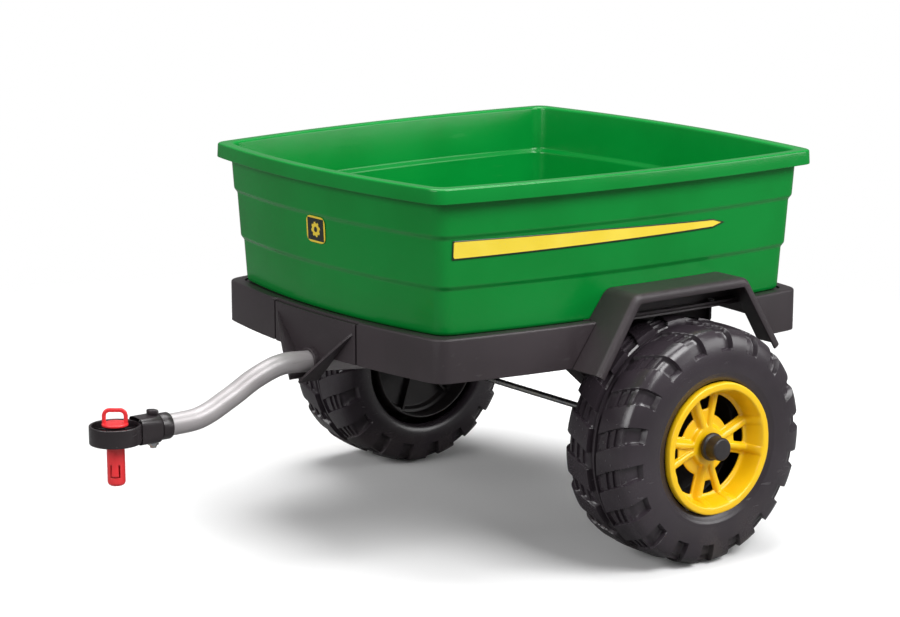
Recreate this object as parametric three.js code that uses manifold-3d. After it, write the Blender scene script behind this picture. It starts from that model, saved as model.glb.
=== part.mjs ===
// A child's two-wheeled ride-on trailer: a green tub on a black moulded tray, a drawbar
// with a pinned coupler, and two chunky wheels on a through axle.
// Millimetres, +Z up, the coupler pointing to -Y and the rear of the tub to +Y.
// The origin lies on the ground under the middle of the whole trailer.

import * as THREE from "three";
import { mergeVertices } from "three/addons/utils/BufferGeometryUtils.js";
import Module from "manifold-3d";

// ---------------------------------------------------------------- driving dimensions

// Plan of the tub rim: a trapezoid, wider at the rear, with barrelled sides and rounded corners.
const RIM_LENGTH = 545; // between the front corners and the rear corners
const RIM_HALF_WIDTH_FRONT = 230;
const RIM_HALF_WIDTH_REAR = 261;
const SIDE_BULGE = 21;
const END_BULGE = 23;
const CORNER_REACH = 14; // how far from the sharp corner the rounding starts
const SIDE_STEPS = 6; // segments in each side of the plan
const CORNER_STEPS = 4; // and in each of its corners

// Heights above the ground.
const RIM_TOP = 463;
const FRAME_TOP = 291.5;
const FRAME_BOTTOM = 240;
const UPPER_STEP = 402; // the two shallow steps that run round the tub wall
const LOWER_STEP = 343;

// Tub shell.
const TUB_WALL = 3;
const RIM_LIP_HEIGHT = 17.5;
const RIM_OVERHANG = 12; // the lip stands out from the wall and turns down
const STEP_HEIGHT = 5;
const STEP_DEPTH = 2.8;
const WALL_SLOPE = 2.6; // how far each of the three wall bands leans in from top to bottom

// Frame tray.
const FRAME_INSET = 10.5; // frame skirt inside the rim outline
const SKIRT_WALL = 3;
const DECK = 3;
const SEAT_DEPTH = 2.5; // shallow seat that locates the tub
const RIB_THICKNESS = 2.5;
const RIB_HEIGHT = 8;
const RIB_LINES_X = [-120, -60, 60, 120]; // ribs that run along the deck
const RIB_LINES_Y = [90, 190, 462]; // and ribs that run across it
const RIB_END = 20; // from a rib's end to the front or rear line of the rim's corners
const ARCH_CLEARANCE = 0.6; // between the fender legs and the arch cut in the skirt
const ARCH_INNER_X = 235; // the arch also thins the ledge outboard of this, above the tyre

// Wheels and axle.
const AXLE_Y = 322; // behind the front corners of the rim
const AXLE_RADIUS = 4;
const WHEEL_X = 282; // middle of the tyre from the middle of the trailer
const TYRE_RADIUS = 142.5;
const TYRE_HALF_WIDTH = 60.5;
const TYRE_WALL = 4;
const LUG_COUNT = 18; // on each side of the tread
const LUG_HEIGHT = 7;
const LUG_LENGTH = 28; // along the rolling direction
const LUG_GAP = 7; // from the middle of the tread to the inner end of a lug
const LUG_LEAN = 22; // how far round the tyre the outer end of a lug lies from its inner end
const LUG_FOOT = 25; // how far below the tread a lug ends on the shoulder
const RIM_RADIUS = 79;
const BARREL_WALL = 2.6;
const SPOKE_FACE = 43; // outboard face of the spokes from the middle of the tyre
const SPOKE_THICKNESS = 8;
const SPOKE_PAIRS = 4;
const SPOKE_TURN = 4; // degrees that the first pair is turned from upright
const WINDOW_INNER = 38; // radii of the large windows between the pairs
const WINDOW_OUTER = 61;
const WINDOW_HALF_ANGLE = 20.5;
const SLOT_INNER = 43; // radii of the small windows inside the pairs
const SLOT_OUTER = 59;
const SLOT_HALF_ANGLE = 7.5;
const DRUM_FACE = -27; // inboard face of the inner disc from the middle of the tyre
const HUB_RADIUS = 21;
const HUB_INNER_END = -53;
const DRUM_RIBS = 6;
const DRUM_RIB_HALF = 1.5;
const DRUM_RIB_HEIGHT = 8;
const WHEEL_SIDES = 28;
const CAP_RADIUS = 13.5;
const CAP_BASE_RADIUS = 16.5;
const CAP_END = 68; // outboard end of the hub cap from the middle of the tyre
const BUSH_RADIUS = 7.5;
const BUSH_FLANGE_RADIUS = 11;
const BUSH_FLANGE = 2;
const BUSH_LENGTH = 16;
const WASHER_RADIUS = 10;
const WASHER = 1.5;

// Fenders.
const FENDER_TOP = 327;
const FENDER_OUTER_X = 295;
const FENDER_INNER_X = 200; // inboard of the tub wall, which trims it
const FENDER_TOP_HALF = 87; // half length of the flat top
const FENDER_FOOT_HALF = 143;
const FENDER_WALL = 3;
const FENDER_LIP = 11;

// Axle hangers.
const HANGER_TYRE_GAP = 12.5; // between the hanger plate and the tyre
const HANGER_PLATE = 4;
const HANGER_X = WHEEL_X - TYRE_HALF_WIDTH - HANGER_TYRE_GAP - HANGER_PLATE; // its inboard face
const HANGER_FLANGE = 20;
const HANGER_FRONT_REACH = 125;
const HANGER_REAR_REACH = 104;
const BOSS_RADIUS = 16;
const BOSS_INNER_X = 158;
const BOSS_OUTER_X = 226;

// Drawbar tube: its centre line runs from inside the coupler to the clamp under the deck.
const TUBE_RADIUS = 12.7;
const TUBE_BORE_RADIUS = 11.2;
const TUBE_STEPS = 22;
const TUBE_SIDES = 8;
const TUBE_ROUTE = [
  [-243, 183.5],
  [-206, 183.5],
  [-168, 186],
  [-127, 203.5],
  [-93, 221],
  [-58, 232],
  [-20, 231],
  [60, 224],
  [150, 217.5],
]; // distance behind the front corners of the rim, height

// Hitch bracket on the front of the frame.
const BRACKET_HALF_WIDTH = 83;
const BRACKET_WALL = 3.6;
const BRACKET_GROOVE = 3;
const BRACKET_NOSE_Z = 210;
const BRACKET_NOSE_HALF_WIDTH = 9;
const FIN_TOP_Z = 276;
const FIN_TOP_HALF_WIDTH = 78;
const FIN_THICKNESS = 3;
const FIN_DEPTH = 26;
const SOCKET_WALL = 4;
const SOCKET_REACH = 10; // how far the tube's socket stands out from the panel

// Coupler.
const COUPLER_Y = -279.5;
const COUPLER_RADIUS = 29.5;
const COUPLER_TOP = 194.5;
const COUPLER_HEIGHT = 21;
const COUPLER_WALL = 3;
const COUPLER_FLOOR = 3.5;
const COUPLER_RIBS = 6;
const SLEEVE_END_Y = -211;
const SLEEVE_HALF_WIDTH = 15.5;
const SLEEVE_CHAMFER = 5.5;
const BOLT_Y = -231;
const BOLT_RADIUS = 2.5;

// Hitch pin.
const PIN_RADIUS = 8;
const PIN_BOTTOM = 127;
const PIN_PLATE_RADIUS = 15;
const PIN_PLATE = 2.8;
const PIN_HANDLE_TOP = 214;
const PIN_HANDLE_WIDTH = 29;
const PIN_HANDLE_THICKNESS = 4.5;
const PIN_TURN = 53; // degrees that the loop handle is turned about the pin

// Clearances.
const REST = 0.3; // between pieces that sit on each other
const RUN = 0.5; // between a turning or sliding piece and what carries it

// How far a cutting block reaches: past everything, past the front face, and just past a face.
const FAR = 400;
const FRONT_REACH = 60;
const PAST = 1;

// ---------------------------------------------------------------- helpers

const wasm = await Module();
wasm.setup();

const trailer = new THREE.Group();
const body = new THREE.Group();
trailer.add(body);

const materials = {
  green: plastic(0x0d8532, 0.3),
  black: plastic(0x322c2e, 0.55),
  tyre: plastic(0x2a2729, 0.5),
  yellow: plastic(0xf9c80f, 0.35),
  red: plastic(0xd92f36, 0.35),
  nylon: plastic(0xd8d6cc, 0.5),
  sticker: plastic(0xf7d93a, 0.4),
  paint: metal(0xa9a6a6, 0.4),
  zinc: metal(0xb9bcc2, 0.3),
};

function plastic(color, roughness) {
  return new THREE.MeshStandardMaterial({ color, roughness, metalness: 0 });
}

function metal(color, roughness) {
  return new THREE.MeshStandardMaterial({ color, roughness, metalness: 0.8 });
}

// A closed three.js geometry as a solid that can be joined and cut.
function solid(geometry) {
  const bare = new THREE.BufferGeometry();
  bare.setAttribute("position", geometry.getAttribute("position"));
  if (geometry.index) bare.setIndex(geometry.index);
  const merged = mergeVertices(bare, 1e-3);
  const mesh = new wasm.Mesh({
    numProp: 3,
    vertProperties: new Float32Array(merged.attributes.position.array),
    triVerts: new Uint32Array(merged.index.array),
  });
  return new wasm.Manifold(mesh);
}

function geometryOf(made) {
  const { vertProperties, triVerts, numProp } = made.getMesh();
  const count = vertProperties.length / numProp;
  const positions = new Float32Array(count * 3);
  for (let i = 0; i < count; i++) {
    positions.set(vertProperties.subarray(i * numProp, i * numProp + 3), i * 3);
  }
  const geometry = new THREE.BufferGeometry();
  geometry.setAttribute("position", new THREE.BufferAttribute(positions, 3));
  geometry.setIndex(new THREE.BufferAttribute(triVerts, 1));
  geometry.computeVertexNormals();
  return geometry;
}

function join(solids) {
  return solids.reduce((sum, next) => sum.add(next));
}

function cut(from, solids) {
  return solids.reduce((left, next) => left.subtract(next), from);
}

function place(name, made, material) {
  const mesh = new THREE.Mesh(geometryOf(made), material);
  mesh.name = name;
  body.add(mesh);
}

// The same solid on the other side of the trailer.
function mirrored(made) {
  const geometry = geometryOf(made);
  geometry.scale(-1, 1, 1);
  const index = geometry.index.array;
  for (let i = 0; i < index.length; i += 3) [index[i + 1], index[i + 2]] = [index[i + 2], index[i + 1]];
  return solid(geometry);
}

function box(x0, x1, y0, y1, z0, z1) {
  const geometry = new THREE.BoxGeometry(x1 - x0, y1 - y0, z1 - z0);
  geometry.translate((x0 + x1) / 2, (y0 + y1) / 2, (z0 + z1) / 2);
  return solid(geometry);
}

// A closed profile of [radius, height] points turned about +Z.
function turned(profile, segments = 40) {
  const points = profile.map(([r, z]) => new THREE.Vector2(r, z));
  const geometry = new THREE.LatheGeometry(points, segments);
  geometry.rotateX(Math.PI / 2);
  return solid(geometry);
}

// A closed ring profile: radii r0 to r1, heights z0 to z1.
function ring(r0, r1, z0, z1, segments = 32) {
  const inner = [
    [r0, z0],
    [r1, z0],
    [r1, z1],
    [r0, z1],
    [r0, z0],
  ];
  const core = [
    [0, z0],
    [r1, z0],
    [r1, z1],
    [0, z1],
  ];
  return turned(r0 > 0 ? inner : core, segments);
}

function moved(made, x, y, z) {
  return solid(geometryOf(made).translate(x, y, z));
}

// A solid made about +Z, laid down so that +Z becomes +X.
function alongX(made) {
  return solid(geometryOf(made).rotateY(Math.PI / 2));
}

function alongY(made) {
  return solid(geometryOf(made).rotateX(-Math.PI / 2));
}

// An outline given as [y, z] points, extruded from x0 to x1.
function slabYZ(points, x0, x1) {
  const shape = new THREE.Shape(points.map(([y, z]) => new THREE.Vector2(y, z)));
  const geometry = new THREE.ExtrudeGeometry(shape, { depth: x1 - x0, bevelEnabled: false });
  geometry.rotateY(Math.PI / 2);
  geometry.rotateX(Math.PI / 2);
  geometry.translate(x0, 0, 0);
  return solid(geometry);
}

// An outline given as [x, z] points, extruded from y0 to y1.
function slabXZ(points, y0, y1) {
  const shape = new THREE.Shape(points.map(([x, z]) => new THREE.Vector2(x, z)));
  const geometry = new THREE.ExtrudeGeometry(shape, { depth: y1 - y0, bevelEnabled: false });
  geometry.rotateX(Math.PI / 2);
  geometry.translate(0, y1, 0);
  return solid(geometry);
}

// An outline given as [x, y] points, extruded from z0 to z1.
function slabXY(points, z0, z1) {
  const shape = new THREE.Shape(points.map(([x, y]) => new THREE.Vector2(x, y)));
  const geometry = new THREE.ExtrudeGeometry(shape, { depth: z1 - z0, bevelEnabled: false });
  geometry.translate(0, 0, z0);
  return solid(geometry);
}

// ---------------------------------------------------------------- plan outline

// A point of a side from corner a to corner b that bulges outward by `bulge` in the middle.
function sidePoint(a, b, bulge, t) {
  const along = b.clone().sub(a);
  const outward = new THREE.Vector2(along.y, -along.x).normalize();
  return a.clone().lerp(b, t).addScaledVector(outward, 4 * bulge * t * (1 - t));
}

// Where the tangents at the two ends of a rounded corner cross.
function crossing(p, towardP, q, towardQ) {
  const d = p.clone().sub(towardP);
  const e = q.clone().sub(towardQ);
  const gap = q.clone().sub(p);
  const s = (gap.x * e.y - gap.y * e.x) / (d.x * e.y - d.y * e.x);
  return p.clone().addScaledVector(d, s);
}

// Plan outline at a distance inside the rim outline, anticlockwise from above.
function outline(inset) {
  const front = RIM_HALF_WIDTH_FRONT - inset;
  const rear = RIM_HALF_WIDTH_REAR - inset;
  const corners = [
    new THREE.Vector2(-front, inset),
    new THREE.Vector2(front, inset),
    new THREE.Vector2(rear, RIM_LENGTH - inset),
    new THREE.Vector2(-rear, RIM_LENGTH - inset),
  ];
  const bulges = [END_BULGE, SIDE_BULGE, END_BULGE, SIDE_BULGE];
  const points = [];
  for (let k = 0; k < 4; k++) {
    const a = corners[k];
    const b = corners[(k + 1) % 4];
    const c = corners[(k + 2) % 4];
    const cutA = CORNER_REACH / a.distanceTo(b);
    const cutB = CORNER_REACH / b.distanceTo(c);
    const side = (t) => sidePoint(a, b, bulges[k], t);
    const next = (t) => sidePoint(b, c, bulges[(k + 1) % 4], t);
    for (let i = 0; i < SIDE_STEPS; i++) points.push(side(cutA + ((1 - 2 * cutA) * i) / SIDE_STEPS));
    const from = side(1 - cutA);
    const to = next(cutB);
    const control = crossing(from, side(1 - cutA - 0.01), to, next(cutB + 0.01));
    const corner = new THREE.QuadraticBezierCurve(from, control, to);
    for (let i = 0; i < CORNER_STEPS; i++) points.push(corner.getPoint(i / CORNER_STEPS));
  }
  return points;
}

// A closed solid through a stack of [inset, height] levels of the plan outline.
function loft(levels) {
  const rings = levels.map(([inset]) => outline(inset));
  const count = rings[0].length;
  const positions = [];
  const index = [];
  rings.forEach((points, k) => points.forEach((p) => positions.push(p.x, p.y, levels[k][1])));
  for (let k = 0; k + 1 < rings.length; k++)
    for (let i = 0; i < count; i++) {
      const a = k * count + i;
      const b = k * count + ((i + 1) % count);
      index.push(a, b, b + count, a, b + count, a + count);
    }
  const last = (rings.length - 1) * count;
  for (const [a, b, c] of THREE.ShapeUtils.triangulateShape(rings[0], [])) index.push(a, c, b);
  for (const [a, b, c] of THREE.ShapeUtils.triangulateShape(rings.at(-1), [])) {
    index.push(last + a, last + b, last + c);
  }
  const geometry = new THREE.BufferGeometry();
  geometry.setAttribute("position", new THREE.Float32BufferAttribute(positions, 3));
  geometry.setIndex(index);
  return solid(geometry);
}

// ---------------------------------------------------------------- tub

const TUB_BOTTOM = FRAME_TOP - SEAT_DEPTH + REST;
const LIP_BOTTOM = RIM_TOP - RIM_LIP_HEIGHT;

// Outer face of the tub wall, from the underside of the rim to the bottom: [inset, height].
const wallLevels = [
  [RIM_OVERHANG, RIM_TOP - TUB_WALL],
  [RIM_OVERHANG + WALL_SLOPE, UPPER_STEP + STEP_HEIGHT],
  [RIM_OVERHANG + WALL_SLOPE + STEP_DEPTH, UPPER_STEP],
  [RIM_OVERHANG + 2 * WALL_SLOPE + STEP_DEPTH, LOWER_STEP + STEP_HEIGHT],
  [RIM_OVERHANG + 2 * WALL_SLOPE + 2 * STEP_DEPTH, LOWER_STEP],
  [RIM_OVERHANG + 3 * WALL_SLOPE + 2 * STEP_DEPTH, TUB_BOTTOM],
];
const TUB_FOOT_INSET = wallLevels.at(-1)[0];

// The tub wall as a solid block, grown outward by `growth`.
function tubBlock(growth) {
  const up = [...wallLevels].reverse().map(([inset, z]) => [inset - growth, z]);
  return loft(up);
}

function makeTub() {
  const outside = [...wallLevels].reverse();
  const inside = wallLevels.slice(1, -1).map(([inset, z]) => [inset + TUB_WALL, z]);
  return loft([
    ...outside,
    [TUB_WALL, RIM_TOP - TUB_WALL],
    [TUB_WALL, LIP_BOTTOM],
    [0, LIP_BOTTOM],
    [0, RIM_TOP],
    [RIM_OVERHANG + TUB_WALL, RIM_TOP],
    ...inside,
    [TUB_FOOT_INSET + TUB_WALL, TUB_BOTTOM + TUB_WALL],
  ]);
}

// ---------------------------------------------------------------- frame tray

const SEAT_Z = FRAME_TOP - SEAT_DEPTH;
const DECK_UNDERSIDE = SEAT_Z - DECK;
const FRAME_FRONT_Y = FRAME_INSET - END_BULGE; // middle of the front face

const tubeCurve = new THREE.CatmullRomCurve3(
  TUBE_ROUTE.map(([y, z]) => new THREE.Vector3(0, y, z)),
  false,
  "centripetal",
);

// A round bar along the drawbar's centre line.
function alongDrawbar(radius) {
  const circle = new THREE.Shape();
  for (let i = 0; i < TUBE_SIDES; i++) {
    const angle = (2 * Math.PI * i) / TUBE_SIDES;
    const x = radius * Math.cos(angle);
    const y = radius * Math.sin(angle);
    if (i) circle.lineTo(x, y);
    else circle.moveTo(x, y);
  }
  circle.closePath();
  const sweep = { steps: TUBE_STEPS, extrudePath: tubeCurve, bevelEnabled: false };
  return solid(new THREE.ExtrudeGeometry(circle, sweep));
}

function drawbarHeight(y) {
  const samples = tubeCurve.getPoints(200);
  return samples.reduce((best, p) => (Math.abs(p.y - y) < Math.abs(best.y - y) ? p : best)).z;
}

// The outside of a fender seen from the side, as [y, z] points, moved inward by `offset`.
function archOutline(offset) {
  const slope = Math.atan2(FENDER_TOP - FRAME_BOTTOM, FENDER_FOOT_HALF - FENDER_TOP_HALF);
  const run = offset / Math.tan((Math.PI - slope) / 2);
  const foot = offset / Math.sin(slope);
  return [
    [AXLE_Y - FENDER_FOOT_HALF + foot, FRAME_BOTTOM],
    [AXLE_Y + FENDER_FOOT_HALF - foot, FRAME_BOTTOM],
    [AXLE_Y + FENDER_TOP_HALF - run, FENDER_TOP - offset],
    [AXLE_Y - FENDER_TOP_HALF + run, FENDER_TOP - offset],
  ];
}

function frameBlock(growth, top) {
  const inset = FRAME_INSET - growth;
  return loft([
    [inset, FRAME_BOTTOM - FENDER_LIP],
    [inset, top],
  ]);
}

function makeFrame() {
  const tray = loft([
    [FRAME_INSET + SKIRT_WALL, DECK_UNDERSIDE],
    [FRAME_INSET + SKIRT_WALL, FRAME_BOTTOM],
    [FRAME_INSET, FRAME_BOTTOM],
    [FRAME_INSET, FRAME_TOP],
    [TUB_FOOT_INSET - REST, FRAME_TOP],
    [TUB_FOOT_INSET - REST, SEAT_Z],
  ]);
  // Ribs stiffen the deck between the hangers and along the middle.
  const ribTop = DECK_UNDERSIDE + PAST;
  const ribFoot = DECK_UNDERSIDE - RIB_HEIGHT;
  const ribReach = HANGER_X - HANGER_FLANGE - 5;
  const half = RIB_THICKNESS / 2;
  const ribs = [
    ...RIB_LINES_X.map((x) => box(x - half, x + half, RIB_END, RIM_LENGTH - RIB_END, ribFoot, ribTop)),
    ...RIB_LINES_Y.map((y) => box(-ribReach, ribReach, y - half, y + half, ribFoot, ribTop)),
  ];
  // The front wall steps back behind the hitch bracket, which closes it.
  const recessHalf = BRACKET_HALF_WIDTH + BRACKET_GROOVE;
  const setBack = FRAME_INSET + BRACKET_WALL + REST;
  const backing = loft([
    [setBack, FRAME_BOTTOM],
    [setBack, DECK_UNDERSIDE + PAST],
  ]).intersect(box(-recessHalf - 8, recessHalf + 8, -FRONT_REACH, RIB_END, 0, FAR));
  const backingHollow = loft([
    [setBack + SKIRT_WALL, FRAME_BOTTOM - PAST],
    [setBack + SKIRT_WALL, DECK_UNDERSIDE],
  ]);
  const front = box(-recessHalf, recessHalf, -FRONT_REACH, RIB_END, FRAME_BOTTOM - PAST, FRAME_TOP - DECK);
  const behindFront = loft([
    [setBack, FRAME_BOTTOM - 2 * PAST],
    [setBack, FRAME_TOP],
  ]);
  // An arch in each side lets the fender's legs through, below the ledge.
  const arch = slabYZ(archOutline(-ARCH_CLEARANCE), -FAR, FAR);
  const underLedge = box(-FAR, FAR, 0, RIM_LENGTH, FRAME_BOTTOM - 5, FRAME_TOP - DECK);
  const between = box(-ARCH_INNER_X, ARCH_INNER_X, 0, RIM_LENGTH, 0, FAR);
  return cut(join([tray, ...ribs, cut(backing, [backingHollow])]), [
    cut(front, [behindFront]),
    cut(arch.intersect(underLedge), [between]),
    alongDrawbar(TUBE_RADIUS + PAST),
    ...tubScrewPlaces.map(([x, y]) => screwHole(x, y)),
    ...fenderScrewPlaces.map((y) => screwHole(fenderScrewX(y), y)),
    ...fenderScrewPlaces.map((y) => screwHole(-fenderScrewX(y), y)),
    ...hangerScrewPlaces.map((y) => screwHole(hangerScrewX, y)),
    ...hangerScrewPlaces.map((y) => screwHole(-hangerScrewX, y)),
    ...clampScrewPlaces.map((x) => screwHole(x, CLAMP_Y)),
  ]);
}

// ---------------------------------------------------------------- fasteners

const SCREW_RADIUS = 2;
const SCREW_HEAD_RADIUS = 4.5;
const SCREW_HEAD = 2.4;
const SCREW_SIDES = 8;

// A pan-head screw with its head's underside at z = 0 and its shank going down; `length` is under the head.
function screw(length) {
  const head = [
    [0, -length],
    [SCREW_RADIUS, -length],
    [SCREW_RADIUS, 0],
    [SCREW_HEAD_RADIUS, 0],
    [SCREW_HEAD_RADIUS * 0.7, SCREW_HEAD],
    [0, SCREW_HEAD],
  ];
  return turned(head, SCREW_SIDES);
}

function upsideDown(made) {
  return solid(geometryOf(made).rotateX(Math.PI));
}

// A vertical hole for a screw's shank, long enough for the tub's floor, the deck and what hangs below.
function screwHole(x, y) {
  const margin = 20;
  return moved(
    ring(0, SCREW_RADIUS + REST, FRAME_BOTTOM + margin, FRAME_TOP + margin, SCREW_SIDES),
    x,
    y,
    0,
  );
}

const TUB_SCREW_X = 150;
const TUB_SCREW_END = 60; // from the front or rear line of the rim's corners
const tubScrewPlaces = [
  [-TUB_SCREW_X, TUB_SCREW_END],
  [TUB_SCREW_X, TUB_SCREW_END],
  [-TUB_SCREW_X, RIM_LENGTH - TUB_SCREW_END],
  [TUB_SCREW_X, RIM_LENGTH - TUB_SCREW_END],
];
const FENDER_SCREW_REACH = 66;
const fenderScrewPlaces = [AXLE_Y - FENDER_SCREW_REACH, AXLE_Y + FENDER_SCREW_REACH];
const HANGER_SCREW_REACH = 92;
const hangerScrewPlaces = [AXLE_Y - HANGER_SCREW_REACH, AXLE_Y + HANGER_SCREW_REACH];
const hangerScrewX = HANGER_X - HANGER_FLANGE / 2;
const CLAMP_Y = 128;
const CLAMP_WALL = 5;
const CLAMP_HALF_LENGTH = 14;
const CLAMP_SCREW_GAP = 1.8; // between the clamp's block and the screw heads beside it
const CLAMP_EAR_END = 6; // from a screw to the end of its ear
const CLAMP_SCREW_X = TUBE_RADIUS + CLAMP_WALL + CLAMP_SCREW_GAP + SCREW_HEAD_RADIUS;
const CLAMP_HALF_WIDTH = CLAMP_SCREW_X + CLAMP_EAR_END;
const clampScrewPlaces = [-CLAMP_SCREW_X, CLAMP_SCREW_X];

// Half width of the plan outline at a distance y, at a given inset.
function halfWidthAt(y, inset) {
  const t = (y - inset) / (RIM_LENGTH - 2 * inset);
  const straight = RIM_HALF_WIDTH_FRONT + (RIM_HALF_WIDTH_REAR - RIM_HALF_WIDTH_FRONT) * t - inset;
  return straight + 4 * SIDE_BULGE * t * (1 - t);
}

// Fender screws go down through the ledge, clear of the fender's inner wall.
function fenderScrewX(y) {
  return halfWidthAt(y, FRAME_INSET + SCREW_HEAD_RADIUS + 1);
}

// ---------------------------------------------------------------- fenders

function makeFender() {
  const inside = archOutline(FENDER_WALL);
  const lipInside = archOutline(FENDER_LIP);
  const reachDown = FRAME_BOTTOM - 5;
  const lowered = (points) => points.map(([y, z], i) => [y, i < 2 ? reachDown : z]);
  const innerX = FENDER_OUTER_X - FENDER_WALL;
  const solidArch = slabYZ(archOutline(0), FENDER_INNER_X, FENDER_OUTER_X);
  const strip = cut(solidArch, [slabYZ(lowered(inside), FENDER_INNER_X - PAST, innerX)]);
  const arch = cut(strip, [slabYZ(lowered(lipInside), FENDER_INNER_X - PAST, FENDER_OUTER_X + PAST)]);
  // Everything inboard stops short of the tub wall and of the frame.
  const tubRoom = tubBlock(RUN + REST);
  const frameRoom = frameBlock(REST, FRAME_TOP + REST);
  const hood = cut(arch, [tubRoom, frameRoom]);
  // An inner wall closes the hood along the tub, and its foot flange is screwed to the ledge.
  const underHood = slabYZ(archOutline(FENDER_WALL - PAST), FENDER_INNER_X, innerX);
  const wallOutside = TUB_FOOT_INSET - RUN - REST - FENDER_WALL;
  const hugging = loft([
    [wallOutside - 1, FRAME_TOP + REST],
    [wallOutside - 4, FENDER_TOP - PAST],
  ]);
  const flange = loft([
    [FRAME_INSET, FRAME_TOP + REST],
    [FRAME_INSET, FRAME_TOP + REST + FENDER_WALL],
  ]);
  const inner = cut(hugging.add(flange), [tubRoom]).intersect(underHood);
  const holes = fenderScrewPlaces.map((y) => screwHole(fenderScrewX(y), y));
  return cut(hood.add(inner), holes);
}

// ---------------------------------------------------------------- axle hangers

const axleHole = moved(alongX(ring(0, AXLE_RADIUS + REST, -FAR, FAR, 24)), 0, AXLE_Y, TYRE_RADIUS);

function makeHanger() {
  const top = DECK_UNDERSIDE - REST;
  const tangent = BOSS_RADIUS * 0.8;
  const profile = (margin) => [
    [AXLE_Y - tangent + margin, TYRE_RADIUS],
    [AXLE_Y + tangent - margin, TYRE_RADIUS],
    [AXLE_Y + HANGER_REAR_REACH - margin, top - 24],
    [AXLE_Y + HANGER_REAR_REACH - margin, top],
    [AXLE_Y - HANGER_FRONT_REACH + margin, top],
    [AXLE_Y - HANGER_FRONT_REACH + margin, FRAME_BOTTOM + 3],
  ];
  const inner = HANGER_X - HANGER_FLANGE;
  const webOuter = HANGER_X + HANGER_PLATE + 6;
  const plate = slabYZ(profile(0), HANGER_X, HANGER_X + HANGER_PLATE);
  const webs = cut(slabYZ(profile(0), inner, webOuter), [
    slabYZ(profile(HANGER_PLATE), inner - PAST, webOuter + PAST),
  ]);
  const pad = slabYZ(
    [
      [AXLE_Y - HANGER_FRONT_REACH, top - HANGER_PLATE],
      [AXLE_Y + HANGER_REAR_REACH, top - HANGER_PLATE],
      [AXLE_Y + HANGER_REAR_REACH, top],
      [AXLE_Y - HANGER_FRONT_REACH, top],
    ],
    inner,
    HANGER_X + PAST,
  );
  const barrel = alongX(ring(0, BOSS_RADIUS, BOSS_INNER_X, BOSS_OUTER_X, 32));
  const boss = moved(barrel, 0, AXLE_Y, TYRE_RADIUS);
  const holes = hangerScrewPlaces.map((y) => screwHole(hangerScrewX, y));
  return cut(join([plate, webs, pad, boss]), [axleHole, ...holes]);
}

// ---------------------------------------------------------------- wheels, made about +Z with outboard up

// The bead's flats just clear the wheel.
const CARCASS_SIDES = 2 * LUG_COUNT;
const BEAD_RADIUS = (RIM_RADIUS + REST) / Math.cos(Math.PI / CARCASS_SIDES);

// Outer half profile of the carcass, from the bead to the middle of the tread:
// [radius, distance from the middle].
const carcass = [
  [BEAD_RADIUS, TYRE_HALF_WIDTH - 4],
  [TYRE_RADIUS - 35, TYRE_HALF_WIDTH],
  [TYRE_RADIUS - 13, TYRE_HALF_WIDTH - 13],
  [TYRE_RADIUS - LUG_HEIGHT, TYRE_HALF_WIDTH - 36],
];
const lining = [
  [BEAD_RADIUS, TYRE_HALF_WIDTH - 4 - TYRE_WALL],
  [TYRE_RADIUS - 32, TYRE_HALF_WIDTH - TYRE_WALL],
  [TYRE_RADIUS - LUG_HEIGHT - TYRE_WALL, TYRE_HALF_WIDTH - 34],
];

// A lug is a bar that leans from near the middle of the tread over the shoulder, on side +1 or -1.
function makeLug(side) {
  const root = TYRE_RADIUS - LUG_HEIGHT - TYRE_WALL / 2;
  const flat = TYRE_HALF_WIDTH - 32;
  const corner = LUG_LENGTH / 2 + (LUG_LEAN * flat) / TYRE_HALF_WIDTH;
  const tread = Math.sqrt(TYRE_RADIUS ** 2 - corner ** 2); // its corners lie on the tyre radius
  const profile = [
    [LUG_GAP, root],
    [LUG_GAP, tread],
    [flat, tread],
    [TYRE_HALF_WIDTH - 9, TYRE_RADIUS - 4],
    [TYRE_HALF_WIDTH, TYRE_RADIUS - LUG_FOOT],
    [TYRE_HALF_WIDTH - 36, root],
  ];
  const bar = geometryOf(slabXZ(profile, -LUG_LENGTH / 2, LUG_LENGTH / 2));
  const lean = (side * LUG_LEAN) / TYRE_HALF_WIDTH;
  bar.applyMatrix4(new THREE.Matrix4().makeShear(lean, 0, 0, 0, 0, 0));
  bar.rotateY(-Math.PI / 2);
  if (side < 0) bar.rotateX(Math.PI);
  return bar;
}

function makeTyre() {
  const down = (half) => half.map(([r, x]) => [r, -x]);
  const profile = [
    ...down(carcass),
    ...[...carcass].reverse(),
    ...lining,
    ...down(lining).reverse(),
    [carcass[0][0], -carcass[0][1]],
  ];
  const lugs = [];
  for (let i = 0; i < 2 * LUG_COUNT; i++) {
    const lug = makeLug(i % 2 ? 1 : -1);
    lug.rotateZ((Math.PI * i) / LUG_COUNT);
    lugs.push(solid(lug));
  }
  return join([turned(profile, CARCASS_SIDES), ...lugs]);
}

const RIM_FACE = TYRE_HALF_WIDTH + 2.5;
const SPOKE_BACK = SPOKE_FACE - SPOKE_THICKNESS;

// An annular sector as [x, y] points.
function sector(r0, r1, from, to) {
  const points = [];
  const steps = 3;
  for (let i = 0; i <= steps; i++) {
    const a = THREE.MathUtils.degToRad(from + ((to - from) * i) / steps);
    points.push([r1 * Math.cos(a), r1 * Math.sin(a)]);
  }
  for (let i = steps; i >= 0; i--) {
    const a = THREE.MathUtils.degToRad(from + ((to - from) * i) / steps);
    points.push([r0 * Math.cos(a), r0 * Math.sin(a)]);
  }
  return points;
}

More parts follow.
